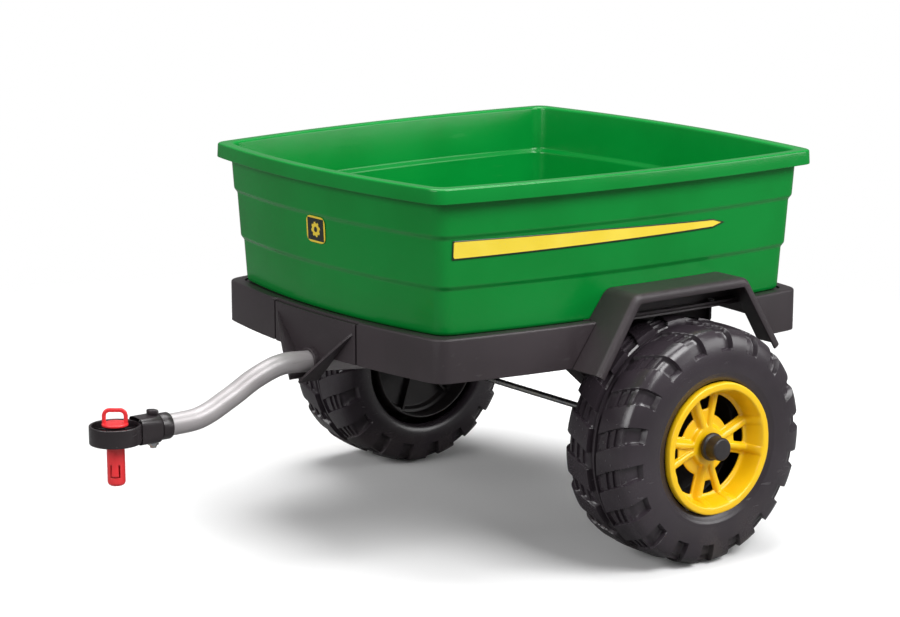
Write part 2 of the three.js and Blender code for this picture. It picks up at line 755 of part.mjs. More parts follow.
// Yellow outer half of the wheel: face ring, barrel, spoke disc and hub.
function makeRim() {
  const barrelIn = RIM_RADIUS - BARREL_WALL;
  const shell = turned(
    [
      [RIM_RADIUS - 8, RIM_FACE],
      [RIM_RADIUS - 11, RIM_FACE - 2],
      [RIM_RADIUS - 15, SPOKE_FACE],
      [BUSH_RADIUS + REST, SPOKE_FACE],
      [BUSH_RADIUS + REST, SPOKE_BACK - 8],
      [HUB_RADIUS - 4, SPOKE_BACK - 8],
      [HUB_RADIUS, SPOKE_BACK],
      [barrelIn, SPOKE_BACK],
      [barrelIn, REST],
      [RIM_RADIUS, REST],
      [RIM_RADIUS, RIM_FACE],
      [RIM_RADIUS - 8, RIM_FACE],
    ],
    WHEEL_SIDES,
  );
  const windows = [];
  const opening = (inner, outer, middle, half) =>
    slabXY(sector(inner, outer, middle - half, middle + half), SPOKE_BACK - PAST, SPOKE_FACE + PAST);
  for (let k = 0; k < SPOKE_PAIRS; k++) {
    const pair = SPOKE_TURN + (360 / SPOKE_PAIRS) * k;
    const between = pair + 180 / SPOKE_PAIRS;
    windows.push(opening(WINDOW_INNER, WINDOW_OUTER, between, WINDOW_HALF_ANGLE));
    windows.push(opening(SLOT_INNER, SLOT_OUTER, pair, SLOT_HALF_ANGLE));
  }
  return cut(shell, windows);
}

// Black inner half of the wheel: barrel, drum disc and long hub.
function makeCore() {
  const barrelIn = RIM_RADIUS - BARREL_WALL;
  const hub = BUSH_RADIUS + REST + 4;
  const shell = turned(
    [
      [RIM_RADIUS, -TYRE_HALF_WIDTH + 3],
      [RIM_RADIUS, -REST],
      [barrelIn, -REST],
      [barrelIn, DRUM_FACE + 3],
      [hub, DRUM_FACE + 3],
      [hub, SPOKE_BACK - 8 - REST],
      [BUSH_RADIUS + REST, SPOKE_BACK - 8 - REST],
      [BUSH_RADIUS + REST, HUB_INNER_END],
      [hub, HUB_INNER_END],
      [hub + 3, DRUM_FACE],
      [barrelIn - 4, DRUM_FACE],
      [barrelIn, DRUM_FACE - 6],
      [barrelIn, -TYRE_HALF_WIDTH + 3],
      [RIM_RADIUS, -TYRE_HALF_WIDTH + 3],
    ],
    WHEEL_SIDES,
  );
  const ribs = [];
  const ribFoot = DRUM_FACE - DRUM_RIB_HEIGHT;
  for (let k = 0; k < DRUM_RIBS; k++) {
    const rib = box(hub, barrelIn - 2, -DRUM_RIB_HALF, DRUM_RIB_HALF, ribFoot, DRUM_FACE + PAST);
    ribs.push(solid(geometryOf(rib).rotateZ((2 * Math.PI * k) / DRUM_RIBS)));
  }
  return join([shell, ...ribs]);
}

// A flanged bush, flange up, its flange's inner face at z = 0.
function makeBush() {
  const bore = AXLE_RADIUS + RUN;
  return turned(
    [
      [bore, -BUSH_LENGTH],
      [BUSH_RADIUS, -BUSH_LENGTH],
      [BUSH_RADIUS, 0],
      [BUSH_FLANGE_RADIUS, 0],
      [BUSH_FLANGE_RADIUS, BUSH_FLANGE],
      [bore, BUSH_FLANGE],
      [bore, -BUSH_LENGTH],
    ],
    16,
  );
}

const OUTER_BUSH_SEAT = SPOKE_FACE + REST;
const OUTER_WASHER = OUTER_BUSH_SEAT + BUSH_FLANGE + RUN;
const CAP_START = OUTER_WASHER + WASHER + REST;
const AXLE_END = WHEEL_X + CAP_END - 8;

function makeCap() {
  const bore = AXLE_RADIUS + REST;
  const depth = AXLE_END - WHEEL_X + REST;
  return turned(
    [
      [bore, CAP_START],
      [CAP_BASE_RADIUS, CAP_START],
      [CAP_BASE_RADIUS, CAP_START + 4],
      [CAP_RADIUS, CAP_START + 6],
      [CAP_RADIUS, CAP_END - 3],
      [CAP_RADIUS - 3, CAP_END],
      [0, CAP_END],
      [0, depth],
      [bore, depth],
      [bore, CAP_START],
    ],
    24,
  );
}

// Turns a solid made about +Z so that its top faces outboard, and sets it on the left end of the axle.
function onAxle(made) {
  return moved(alongX(made), WHEEL_X, AXLE_Y, TYRE_RADIUS);
}

// ---------------------------------------------------------------- hitch bracket, coupler and pin

function makeBracket() {
  const halfTop = BRACKET_HALF_WIDTH;
  const face = cut(
    loft([
      [FRAME_INSET, BRACKET_NOSE_Z],
      [FRAME_INSET, FRAME_TOP - DECK - REST],
    ]),
    [
      loft([
        [FRAME_INSET + BRACKET_WALL, BRACKET_NOSE_Z - PAST],
        [FRAME_INSET + BRACKET_WALL, FRAME_TOP],
      ]),
    ],
  );
  // The panel is as wide as the V where it passes the skirt's lower edge.
  const share = (FRAME_BOTTOM - BRACKET_NOSE_Z) / (FIN_TOP_Z - BRACKET_NOSE_Z);
  const neck = BRACKET_NOSE_HALF_WIDTH + share * (FIN_TOP_HALF_WIDTH - BRACKET_NOSE_HALF_WIDTH);
  const panelShape = [
    [-BRACKET_NOSE_HALF_WIDTH, BRACKET_NOSE_Z],
    [BRACKET_NOSE_HALF_WIDTH, BRACKET_NOSE_Z],
    [neck, FRAME_BOTTOM],
    [halfTop, FRAME_BOTTOM],
    [halfTop, FRAME_TOP],
    [-halfTop, FRAME_TOP],
    [-halfTop, FRAME_BOTTOM],
    [-neck, FRAME_BOTTOM],
  ];
  const panel = face.intersect(slabXZ(panelShape, -FRONT_REACH, FRONT_REACH));
  // Two fins run down the V to the socket and grow deeper as they go.
  const back = FRAME_FRONT_Y + BRACKET_WALL - 0.5;
  const vee = (margin) => [
    [-BRACKET_NOSE_HALF_WIDTH + margin, BRACKET_NOSE_Z],
    [BRACKET_NOSE_HALF_WIDTH - margin, BRACKET_NOSE_Z],
    [FIN_TOP_HALF_WIDTH - margin, FIN_TOP_Z],
    [-FIN_TOP_HALF_WIDTH + margin, FIN_TOP_Z],
  ];
  const depthShape = [
    [FRAME_FRONT_Y - FIN_DEPTH, BRACKET_NOSE_Z],
    [FRAME_FRONT_Y + FIN_DEPTH, BRACKET_NOSE_Z],
    [FRAME_FRONT_Y + FIN_DEPTH, FIN_TOP_Z],
    [FRAME_FRONT_Y, FIN_TOP_Z],
  ];
  const fins = cut(slabXZ(vee(0), FRAME_FRONT_Y - FIN_DEPTH, back + 4), [
    slabXZ(vee(FIN_THICKNESS), -FAR, FAR),
    loft([
      [FRAME_INSET + BRACKET_WALL, BRACKET_NOSE_Z - PAST],
      [FRAME_INSET + BRACKET_WALL, FRAME_TOP],
    ]),
  ]).intersect(slabYZ(depthShape, -FAR, FAR));
  const socketFront = FRAME_FRONT_Y - SOCKET_REACH;
  const socket = moved(
    alongY(ring(0, TUBE_RADIUS + REST + SOCKET_WALL, socketFront, back, 28)),
    0,
    0,
    drawbarHeight(FRAME_FRONT_Y - SOCKET_REACH / 2),
  );
  return cut(join([panel, fins, socket]), [alongDrawbar(TUBE_RADIUS + REST)]);
}

function makeTube() {
  const [mouthY, mouthZ] = TUBE_ROUTE[0];
  const mouth = moved(alongY(ring(0, TUBE_BORE_RADIUS, -6, 6, TUBE_SIDES)), 0, mouthY, mouthZ);
  return cut(alongDrawbar(TUBE_RADIUS), [alongDrawbar(TUBE_BORE_RADIUS).add(mouth), boltHole()]);
}

function boltHole() {
  return moved(ring(0, BOLT_RADIUS + REST, -FRONT_REACH, FRONT_REACH, 16), 0, BOLT_Y, SLEEVE_CENTRE);
}

// Saddle that holds the rear end of the drawbar under the deck.
function makeClamp() {
  const top = DECK_UNDERSIDE - RIB_HEIGHT;
  const z = drawbarHeight(CLAMP_Y);
  const half = TUBE_RADIUS + CLAMP_WALL;
  const wide = CLAMP_HALF_WIDTH;
  const front = CLAMP_Y - CLAMP_HALF_LENGTH;
  const rear = CLAMP_Y + CLAMP_HALF_LENGTH;
  const block = box(-half, half, front, rear, z - half, top);
  const ears = box(-wide, wide, front, rear, top - CLAMP_WALL, DECK_UNDERSIDE - REST);
  const holes = clampScrewPlaces.map((x) => screwHole(x, CLAMP_Y));
  return cut(join([block, ears]), [alongDrawbar(TUBE_RADIUS + REST), ...holes]);
}

const SLEEVE_CENTRE = drawbarHeight(BOLT_Y);
const SLEEVE_TOP = SLEEVE_CENTRE + SLEEVE_HALF_WIDTH;
const SLEEVE_BOTTOM = SLEEVE_CENTRE - SLEEVE_HALF_WIDTH;
const COUPLER_BOTTOM = COUPLER_TOP - COUPLER_HEIGHT;
const PIN_TUBE_RADIUS = PIN_RADIUS + RUN + 2.5;
const PIN_PLATE_Z = COUPLER_TOP - 0.5;

function makeCoupler() {
  const cup = cut(ring(0, COUPLER_RADIUS, COUPLER_BOTTOM, COUPLER_TOP, 30), [
    ring(0, COUPLER_RADIUS - COUPLER_WALL, COUPLER_BOTTOM + COUPLER_FLOOR, COUPLER_TOP + 1, 30),
  ]);
  const pinTube = ring(0, PIN_TUBE_RADIUS, COUPLER_BOTTOM, PIN_PLATE_Z - REST, 24);
  const ribs = [];
  for (let k = 0; k < COUPLER_RIBS; k++) {
    const rib = box(PIN_TUBE_RADIUS - 1, COUPLER_RADIUS - 1, -1.2, 1.2, COUPLER_BOTTOM + 1, COUPLER_TOP - 6);
    ribs.push(solid(geometryOf(rib).rotateZ((2 * Math.PI * (k + 0.5)) / COUPLER_RIBS)));
  }
  const ringPart = join([cup, pinTube, ...ribs]);
  const start = COUPLER_RADIUS - 3;
  const length = SLEEVE_END_Y - COUPLER_Y;
  const flat = SLEEVE_HALF_WIDTH - SLEEVE_CHAMFER;
  const corners = [
    [flat, -SLEEVE_HALF_WIDTH],
    [SLEEVE_HALF_WIDTH, -flat],
    [SLEEVE_HALF_WIDTH, flat],
    [flat, SLEEVE_HALF_WIDTH],
    [-flat, SLEEVE_HALF_WIDTH],
    [-SLEEVE_HALF_WIDTH, flat],
    [-SLEEVE_HALF_WIDTH, -flat],
    [-flat, -SLEEVE_HALF_WIDTH],
  ];
  const collar = 14; // the round end of the sleeve
  const square = moved(slabXZ(corners, start, length - collar), 0, 0, SLEEVE_CENTRE);
  const roundEnd = alongY(ring(0, SLEEVE_HALF_WIDTH, start, length, 32));
  const sleeve = square.add(moved(roundEnd, 0, 0, SLEEVE_CENTRE));
  const whole = moved(ringPart.add(sleeve), 0, COUPLER_Y, 0);
  const [mouthY, mouthZ] = TUBE_ROUTE[0];
  const mouth = alongY(ring(0, TUBE_RADIUS + REST, -PAST, PAST, TUBE_SIDES));
  return cut(whole, [
    moved(ring(0, PIN_RADIUS + RUN, 0, FAR, 24), 0, COUPLER_Y, 0),
    alongDrawbar(TUBE_RADIUS + REST),
    moved(mouth, 0, mouthY, mouthZ),
    boltHole(),
  ]);
}

// Bolt through the sleeve: head below, thread end above.
const NUT_HEIGHT = 4;
const NUT_RADIUS = 6.5;
const BOLT_HEAD_RADIUS = 4.2;
const BOLT_HEAD = 3;
const KNOB_HEIGHT = 5;
const KNOB_RADIUS = 5;
const WING_REACH = 7.5;
const WING_HALF = 1.6;

function makeCouplerBolt() {
  const low = SLEEVE_BOTTOM - REST - NUT_HEIGHT - REST;
  const high = SLEEVE_TOP + RUN + KNOB_HEIGHT - 1.5;
  return moved(
    turned(
      [
        [0, low - BOLT_HEAD],
        [BOLT_HEAD_RADIUS, low - BOLT_HEAD],
        [BOLT_HEAD_RADIUS, low],
        [BOLT_RADIUS, low],
        [BOLT_RADIUS, high],
        [0, high],
      ],
      20,
    ),
    0,
    BOLT_Y,
    0,
  );
}

function makeCouplerNut() {
  const z = SLEEVE_BOTTOM - REST;
  const hexagon = ring(0, NUT_RADIUS, z - NUT_HEIGHT, z, 6);
  return cut(moved(hexagon, 0, BOLT_Y, 0), [moved(ring(0, BOLT_RADIUS + REST, 0, FAR, 16), 0, BOLT_Y, 0)]);
}

// Small winged knob on top of the sleeve.
function makeWingKnob() {
  const base = SLEEVE_TOP + RUN;
  const hub = ring(0, KNOB_RADIUS, base, base + KNOB_HEIGHT, 24);
  const wing = box(-WING_REACH, WING_REACH, -WING_HALF, WING_HALF, base + 1, base + KNOB_HEIGHT + 1);
  const bore = ring(0, BOLT_RADIUS + REST, base - PAST, base + KNOB_HEIGHT - 1, 12);
  return moved(cut(join([hub, wing]), [bore]), 0, BOLT_Y, 0);
}

function makePin() {
  const chamfer = 2.5;
  const shank = turned(
    [
      [0, PIN_BOTTOM],
      [PIN_RADIUS - chamfer, PIN_BOTTOM],
      [PIN_RADIUS, PIN_BOTTOM + chamfer],
      [PIN_RADIUS, PIN_PLATE_Z],
      [PIN_PLATE_RADIUS, PIN_PLATE_Z],
      [PIN_PLATE_RADIUS, PIN_PLATE_Z + PIN_PLATE - 0.8],
      [PIN_PLATE_RADIUS - 0.8, PIN_PLATE_Z + PIN_PLATE],
      [0, PIN_PLATE_Z + PIN_PLATE],
    ],
    24,
  );
  // The loop handle: a flat arch whose legs stand on the plate.
  const half = PIN_HANDLE_WIDTH / 2;
  const foot = PIN_PLATE_Z + PIN_PLATE - 1;
  const bend = 8;
  const loop = new THREE.Shape();
  loop.moveTo(-half, foot);
  loop.lineTo(-half, PIN_HANDLE_TOP - bend);
  loop.quadraticCurveTo(-half, PIN_HANDLE_TOP, -half + bend, PIN_HANDLE_TOP);
  loop.lineTo(half - bend, PIN_HANDLE_TOP);
  loop.quadraticCurveTo(half, PIN_HANDLE_TOP, half, PIN_HANDLE_TOP - bend);
  loop.lineTo(half, foot);
  const inner = half - PIN_HANDLE_THICKNESS;
  const innerTop = PIN_HANDLE_TOP - PIN_HANDLE_THICKNESS;
  loop.lineTo(inner, foot);
  loop.lineTo(inner, innerTop - bend / 2);
  loop.quadraticCurveTo(inner, innerTop, inner - bend / 2, innerTop);
  loop.lineTo(-inner + bend / 2, innerTop);
  loop.quadraticCurveTo(-inner, innerTop, -inner, innerTop - bend / 2);
  loop.lineTo(-inner, foot);
  loop.closePath();
  const flat = { depth: PIN_HANDLE_THICKNESS, bevelEnabled: false, curveSegments: 5 };
  const handle = new THREE.ExtrudeGeometry(loop, flat);
  handle.rotateX(Math.PI / 2);
  handle.translate(0, PIN_HANDLE_THICKNESS / 2, 0);
  // The lower end is hollow, and a U-shaped cut frees a snap tab in its wall.
  const tabBottom = PIN_BOTTOM + 8;
  const tabTop = tabBottom + 15;
  const hollow = ring(0, PIN_RADIUS - 2.2, PIN_BOTTOM - PAST, tabTop + 3, 24);
  const slit = 1.4;
  const tabHalf = 3.5;
  const outside = -PIN_RADIUS - PAST;
  const slits = [
    box(-tabHalf - slit, -tabHalf, outside, -2, tabBottom, tabTop),
    box(tabHalf, tabHalf + slit, outside, -2, tabBottom, tabTop),
    box(-tabHalf, tabHalf, outside, -2, tabBottom, tabBottom + slit),
  ];
  const upright = cut(join([shank, solid(handle)]), [hollow, ...slits]);
  const turnedPin = geometryOf(upright).rotateZ(THREE.MathUtils.degToRad(PIN_TURN));
  return solid(turnedPin.translate(0, COUPLER_Y, 0));
}

// ---------------------------------------------------------------- stickers and plaque

const STICKER = 0.8;

// A thin skin that follows the tub wall.
function tubSkin() {
  return cut(tubBlock(REST + STICKER), [tubBlock(REST)]);
}

// The tapering side stripe, as [y, z] points.
const STRIPE = [
  [31, 378.5],
  [215, 380.5],
  [390, 382],
  [409, 387.5],
  [390, 393],
  [215, 398.5],
  [31, 401],
];
const BADGE_HALF_WIDTH = 19;
const BADGE_Z = 387;
const BADGE_HALF_HEIGHT = 15;

function makeStripe() {
  return tubSkin().intersect(slabYZ(STRIPE, FENDER_INNER_X, FAR));
}

function makeBadge() {
  const corner = 7;
  const shape = [
    [-BADGE_HALF_WIDTH, BADGE_Z - BADGE_HALF_HEIGHT + corner],
    [-BADGE_HALF_WIDTH + corner, BADGE_Z - BADGE_HALF_HEIGHT],
    [BADGE_HALF_WIDTH - corner, BADGE_Z - BADGE_HALF_HEIGHT],
    [BADGE_HALF_WIDTH, BADGE_Z - BADGE_HALF_HEIGHT + corner],
    [BADGE_HALF_WIDTH, BADGE_Z + BADGE_HALF_HEIGHT - corner],
    [BADGE_HALF_WIDTH - corner, BADGE_Z + BADGE_HALF_HEIGHT],
    [-BADGE_HALF_WIDTH + corner, BADGE_Z + BADGE_HALF_HEIGHT],
    [-BADGE_HALF_WIDTH, BADGE_Z + BADGE_HALF_HEIGHT - corner],
  ];
  return tubSkin().intersect(slabXZ(shape, -FRONT_REACH, FRONT_REACH));
}

// ---------------------------------------------------------------- assembly

function screwsDown(name, places, top, length) {
  places.forEach(([x, y], i) => {
    place(`${name}_${i + 1}`, moved(screw(length), x, y, top), materials.zinc);
  });
}

const tubHoles = tubScrewPlaces.map(([x, y]) => screwHole(x, y));
place("tub", cut(makeTub(), tubHoles), materials.green);
place("frame_tray", makeFrame(), materials.black);
screwsDown("tub_screw", tubScrewPlaces, TUB_BOTTOM + TUB_WALL + REST, 14);

place("hitch_bracket", makeBracket(), materials.black);
place("tongue_tube", makeTube(), materials.paint);
place("tongue_clamp", makeClamp(), materials.black);
place("coupler", makeCoupler(), materials.black);
place("coupler_bolt", makeCouplerBolt(), materials.zinc);
place("coupler_nut", makeCouplerNut(), materials.zinc);
place("wing_knob", makeWingKnob(), materials.black);
place("hitch_pin", makePin(), materials.red);
place("front_badge", makeBadge(), materials.sticker);

const axle = moved(alongX(ring(0, AXLE_RADIUS, -AXLE_END, AXLE_END, 24)), 0, AXLE_Y, TYRE_RADIUS);
place("axle_rod", axle, materials.zinc);

const fender = makeFender();
const hanger = makeHanger();
const stripe = makeStripe();
const washer = ring(AXLE_RADIUS + RUN, WASHER_RADIUS, 0, WASHER, 20);
const wheelPieces = [
  ["tyre", makeTyre(), materials.tyre],
  ["rim", makeRim(), materials.yellow],
  ["core", makeCore(), materials.black],
  ["bush_outer", moved(makeBush(), 0, 0, OUTER_BUSH_SEAT), materials.nylon],
  ["bush_inner", moved(upsideDown(makeBush()), 0, 0, HUB_INNER_END - REST), materials.nylon],
  ["washer", moved(washer, 0, 0, OUTER_WASHER), materials.zinc],
  ["cap", makeCap(), materials.black],
];
const underHanger = DECK_UNDERSIDE - REST - HANGER_PLATE - REST;
const underClamp = DECK_UNDERSIDE - RIB_HEIGHT - CLAMP_WALL - REST;

for (const [word, side] of [
  ["left", 1],
  ["right", -1],
]) {
  const own = (made) => (side > 0 ? made : mirrored(made));
  place(`fender_${word}`, own(fender), materials.black);
  place(`axle_hanger_${word}`, own(hanger), materials.black);
  place(`side_stripe_${word}`, own(stripe), materials.sticker);
  for (const [piece, made, material] of wheelPieces) {
    place(`wheel_${piece}_${word}`, own(onAxle(made)), material);
  }
  screwsDown(
    `fender_screw_${word}`,
    fenderScrewPlaces.map((y) => [side * fenderScrewX(y), y]),
    FRAME_TOP + 2 * REST + FENDER_WALL,
    12,
  );
  hangerScrewPlaces.forEach((y, i) =>
    place(
      `hanger_screw_${word}_${i + 1}`,
      moved(upsideDown(screw(HANGER_PLATE + DECK)), side * hangerScrewX, y, underHanger),
      materials.zinc,
    ),
  );
}
clampScrewPlaces.forEach((x, i) =>
  place(`clamp_screw_${i + 1}`, moved(upsideDown(screw(14)), x, CLAMP_Y, underClamp), materials.zinc),
);

// The origin sits on the ground under the middle of the whole trailer.
const whole = new THREE.Box3().setFromObject(body);
body.position.set(0, -(whole.min.y + whole.max.y) / 2, -whole.min.z);

export default trailer;
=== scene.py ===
# %% [markdown]
# A child's ride-on trailer: a glossy green tub on a charcoal moulded tray, two chunky wheels under fenders,
# and a bent drawbar that ends in a coupler with a red pull-out pin.
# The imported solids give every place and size. They are plain and faceted, so most of them are remade here as
# smooth surfaces, and each new surface stands for the solid that it replaces and moves with the same body.

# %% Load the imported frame
import math

import bmesh
import bpy
import numpy as np
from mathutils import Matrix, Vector


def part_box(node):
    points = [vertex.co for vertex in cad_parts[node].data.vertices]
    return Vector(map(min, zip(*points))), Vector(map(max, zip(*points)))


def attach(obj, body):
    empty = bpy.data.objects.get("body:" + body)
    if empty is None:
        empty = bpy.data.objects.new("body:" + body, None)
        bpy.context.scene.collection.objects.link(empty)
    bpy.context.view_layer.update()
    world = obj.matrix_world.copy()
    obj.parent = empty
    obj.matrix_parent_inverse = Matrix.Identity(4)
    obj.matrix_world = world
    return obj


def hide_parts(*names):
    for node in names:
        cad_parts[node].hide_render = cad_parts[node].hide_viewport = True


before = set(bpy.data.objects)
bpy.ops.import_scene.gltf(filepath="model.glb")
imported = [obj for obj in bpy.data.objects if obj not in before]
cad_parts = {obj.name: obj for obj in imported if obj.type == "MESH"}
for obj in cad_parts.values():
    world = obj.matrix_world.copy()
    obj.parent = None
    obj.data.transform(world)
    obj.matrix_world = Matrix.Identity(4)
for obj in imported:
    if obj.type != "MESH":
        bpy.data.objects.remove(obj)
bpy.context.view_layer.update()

# %% [markdown]
# The shapes below are written in millimetres in the maker's own drawing frame: y counts from the front
# corners of the tub's rim and z from the ground. The axle is a good datum, because it passes through the
# middle of both wheels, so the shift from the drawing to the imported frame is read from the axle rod's box.

# %% Find the drawing's datum
AXLE_Y = 322.0
AXLE_Z = 142.5
rod_low, rod_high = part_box("axle_rod")
SHIFT = np.array([0.0, 500 * (rod_low.y + rod_high.y) - AXLE_Y, 500 * (rod_low.z + rod_high.z) - AXLE_Z])
SIDES = (("left", 1), ("right", -1))
print("drawing to packed frame, mm", SHIFT.round(3))


def in_frame(points):
    """Drawing millimetres to packed metres: (p + shift) / 1000."""
    return (np.asarray(points, float) + SHIFT) / 1000


# %% [markdown]
# Every smooth piece is one or more grids of points. A grid is a surface of two parameters: its rows step
# along one parameter and its columns along the other. A helper joins neighbouring points by quads, closes
# the grid round on itself where it should, and caps an open end. Points that fall together, as at a pole,
# are merged afterwards, and the normals are then made to face outwards.


# %% Grids to meshes
def quads(rows, columns, close_rows=False, close_columns=False):
    """Index quads of a grid: (i, j), (i+1, j), (i+1, j+1), (i, j+1), wrapping where it is closed."""
    i = np.arange(rows if close_rows else rows - 1)[:, None]
    j = np.arange(columns if close_columns else columns - 1)[None, :]
    k = (i + 1) % rows
    m = (j + 1) % columns
    corners = np.broadcast_arrays(i * columns + j, k * columns + j, k * columns + m, i * columns + m)
    return np.stack(corners, -1)


def grid(points, close_rows=False, close_columns=False, caps=False, keep=None):
    """One grid as (points, faces). `keep` masks the quads that stay; caps fill the first and last rows."""
    points = np.asarray(points, float)
    rows, columns = points.shape[:2]
    faces = quads(rows, columns, close_rows, close_columns)
    faces = (faces if keep is None else faces[keep]).reshape(-1, 4).tolist()
    if caps:
        ring = np.arange(columns)
        faces += [ring[::-1].tolist(), (ring + (rows - 1) * columns).tolist()]
    return points.reshape(-1, 3), faces


# Points nearer than MERGE metres become one, and edges sharper than BEVEL_ABOVE degrees get a bevel.
MERGE = 2e-6
BEVEL_ABOVE = 32


def piece(name, grids, solidify=0.0, bevel=0.0, subdivide=0, sharp=38, outward=True, flip=False):
    """Joins grids (in drawing mm) into one object in packed metres, merges doubles and faces it outwards."""
    points, faces, start = [], [], 0
    for some, quad in grids:
        points.append(some)
        faces += [[v + start for v in face] for face in quad]
        start += len(some)
    mesh = bpy.data.meshes.new(name)
    mesh.from_pydata(in_frame(np.concatenate(points)).tolist(), [], faces)
    obj = bpy.data.objects.new(name, mesh)
    bpy.context.scene.collection.objects.link(obj)
    work = bmesh.new()
    work.from_mesh(mesh)
    bmesh.ops.remove_doubles(work, verts=work.verts, dist=MERGE)
    bmesh.ops.dissolve_degenerate(work, edges=work.edges, dist=MERGE / 20)
    if outward:
        bmesh.ops.recalc_face_normals(work, faces=work.faces)
    if flip:
        bmesh.ops.reverse_faces(work, faces=work.faces)
    work.to_mesh(mesh)
    work.free()
    mesh.shade_smooth()
    if solidify:
        wall = obj.modifiers.new("wall", "SOLIDIFY")
        wall.thickness = solidify / 1000
        wall.offset = -1
        wall.use_even_offset = True
    if bevel:
        edge = obj.modifiers.new("edges", "BEVEL")
        edge.width = bevel / 1000
        edge.segments = 2
        edge.limit_method = "ANGLE"
        edge.angle_limit = math.radians(BEVEL_ABOVE)
    if subdivide:
        fine = obj.modifiers.new("fine", "SUBSURF")
        fine.levels = subdivide
        fine.render_levels = subdivide
    mesh.set_sharp_from_angle(angle=math.radians(180 if (bevel or subdivide) else sharp))
    return obj


def fit(obj, body, nodes, material):
    """The piece rides on a body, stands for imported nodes, and takes its finish."""
    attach(obj, body)
    if nodes:
        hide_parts(*nodes)
    obj.data.materials.clear()
    obj.data.materials.append(material)
    print(f"{obj.name}: {len(obj.data.vertices)} points on {body}, stands for {list(nodes)}")
    return obj


# %% [markdown]
# A moulded part has no sharp corners, so profiles are drawn as a few corner points and each corner is then
# rounded by a quadratic curve that leaves and meets its two edges at their own slope.


# %% Rounded profiles and turned shapes
def rounded(corners, radius, steps=6, closed=False):
    """Corner P becomes (1-t)^2 A + 2t(1-t) P + t^2 B, with A and B `radius` away on its two edges."""
    corners = np.asarray(corners, float)
    before = np.roll(corners, 1, 0)
    after = np.roll(corners, -1, 0)
    back = np.linalg.norm(before - corners, axis=1)
    ahead = np.linalg.norm(after - corners, axis=1)
    reach = np.minimum(np.broadcast_to(radius, len(corners)), 0.48 * np.minimum(back, ahead))
    a = corners + (before - corners) * (reach / back)[:, None]
    b = corners + (after - corners) * (reach / ahead)[:, None]
    t = np.linspace(0, 1, steps)[None, :, None]
    arcs = (1 - t) ** 2 * a[:, None] + 2 * t * (1 - t) * corners[:, None] + t**2 * b[:, None]
    if not closed:
        arcs[0] = corners[0]
        arcs[-1] = corners[-1]
    return arcs.reshape(-1, corners.shape[1])


def turned(profile, centre, axis="z", side=1, columns=64, close=True):
    """Profile points (radius r, height h) turned about an axis: r cos a, r sin a across it and h along it."""
    profile = np.asarray(profile, float)
    a = np.linspace(0, 2 * np.pi, columns, endpoint=False)
    across = profile[:, :1] * np.cos(a)
    other = profile[:, :1] * np.sin(a)
    along = np.broadcast_to(side * profile[:, 1:], across.shape)
    order = {"x": (along, across, other), "y": (across, along, other), "z": (across, other, along)}[axis]
    return grid(np.stack(order, -1) + np.asarray(centre, float), close_rows=close, close_columns=True)


def slab(outline, axis, low, high):
    """A flat outline of 2-D points pushed along one axis from low to high, closed at both faces."""
    outline = np.asarray(outline, float)
    levels = np.array([[low], [high]]) * np.ones(len(outline))
    first = np.broadcast_to(outline[:, 0], levels.shape)
    second = np.broadcast_to(outline[:, 1], levels.shape)
    order = {"x": (levels, first, second), "y": (first, levels, second), "z": (first, second, levels)}[axis]
    return grid(np.stack(order, -1), close_columns=True, caps=True)


def block(x0, x1, y0, y1, z0, z1):
    """A plain bar between six planes, for ribs and webs whose edges are then bevelled."""
    return slab([[x0, y0], [x1, y0], [x1, y1], [x0, y1]], "z", z0, z1)


def bar_at(angle, start, end, half):
    """Corners of a bar of half width `half` that runs from radius start to end, turned by the angle."""
    c, s = np.cos(angle), np.sin(angle)
    corner = np.array([[start, -half], [end, -half], [end, half], [start, half]])
    return corner @ np.array([[c, s], [-s, c]])


def normals(line):
    """Unit normals of a plane line: its direction at each point, given a quarter turn to the left."""
    run = np.gradient(line, axis=0)
    run /= np.linalg.norm(run, axis=1)[:, None]
    return np.stack([-run[:, 1], run[:, 0]], -1)


square = rounded([[0, 0], [9, 0], [9, 9], [0, 9]], 2, closed=True)
print("profile helpers ready; a rounded square has", len(square), "points")

# %% [markdown]
# Finishes come next. On the real trailer nearly everything is injection-moulded plastic: glossy green, satin
# charcoal, glossy yellow and red. Such plastic is never one flat colour. It has a faint cloudiness from the
# melt, a fine surface grain or orange peel, dust in its low places and light scuffs where it is handled.
# The maths of those masks is easier to read as Python sums than as a web of nodes, so one small class wraps
# a socket: an expression on wrapped sockets adds the Math nodes that it stands for.


# %% A socket that does sums
class Wire:
    """A node output. Arithmetic on it, with a number or another Wire on either side, adds a Math node."""

    def __init__(self, tree, socket):
        self.tree = tree
        self.socket = socket

    def _math(self, operation, *inputs):
        return paint_node(self.tree, "ShaderNodeMath", {"operation": operation}, dict(enumerate(inputs)))

    def __add__(self, other):
        return self._math("ADD", self, other)

    __radd__ = __add__

    def __sub__(self, other):
        return self._math("SUBTRACT", self, other)

    def __rsub__(self, other):
        return self._math("SUBTRACT", other, self)

    def __mul__(self, other):
        return self._math("MULTIPLY", self, other)

    __rmul__ = __mul__

    def __pow__(self, other):
        return self._math("POWER", self, other)

    def __abs__(self):
        return self._math("ABSOLUTE", self)

    def ramp(self, low, high):
        """0 below low and 1 above high, with an eased slope between them."""
        settings = {"interpolation_type": "SMOOTHSTEP"}
        inputs = {"Value": self, "From Min": low, "From Max": high}
        return paint_node(self.tree, "ShaderNodeMapRange", settings, inputs)


def paint_node(tree, kind, settings=None, inputs=None, output=0):
    """Any node: its settings are set first, then each input gets a value or a link; returns one output."""
    node = tree.nodes.new(kind)
    for key, value in (settings or {}).items():
        setattr(node, key, value)
    for key, value in (inputs or {}).items():
        if isinstance(value, Wire):
            tree.links.new(value.socket, node.inputs[key])
        else:
            node.inputs[key].default_value = value
    return Wire(tree, node.outputs[output])


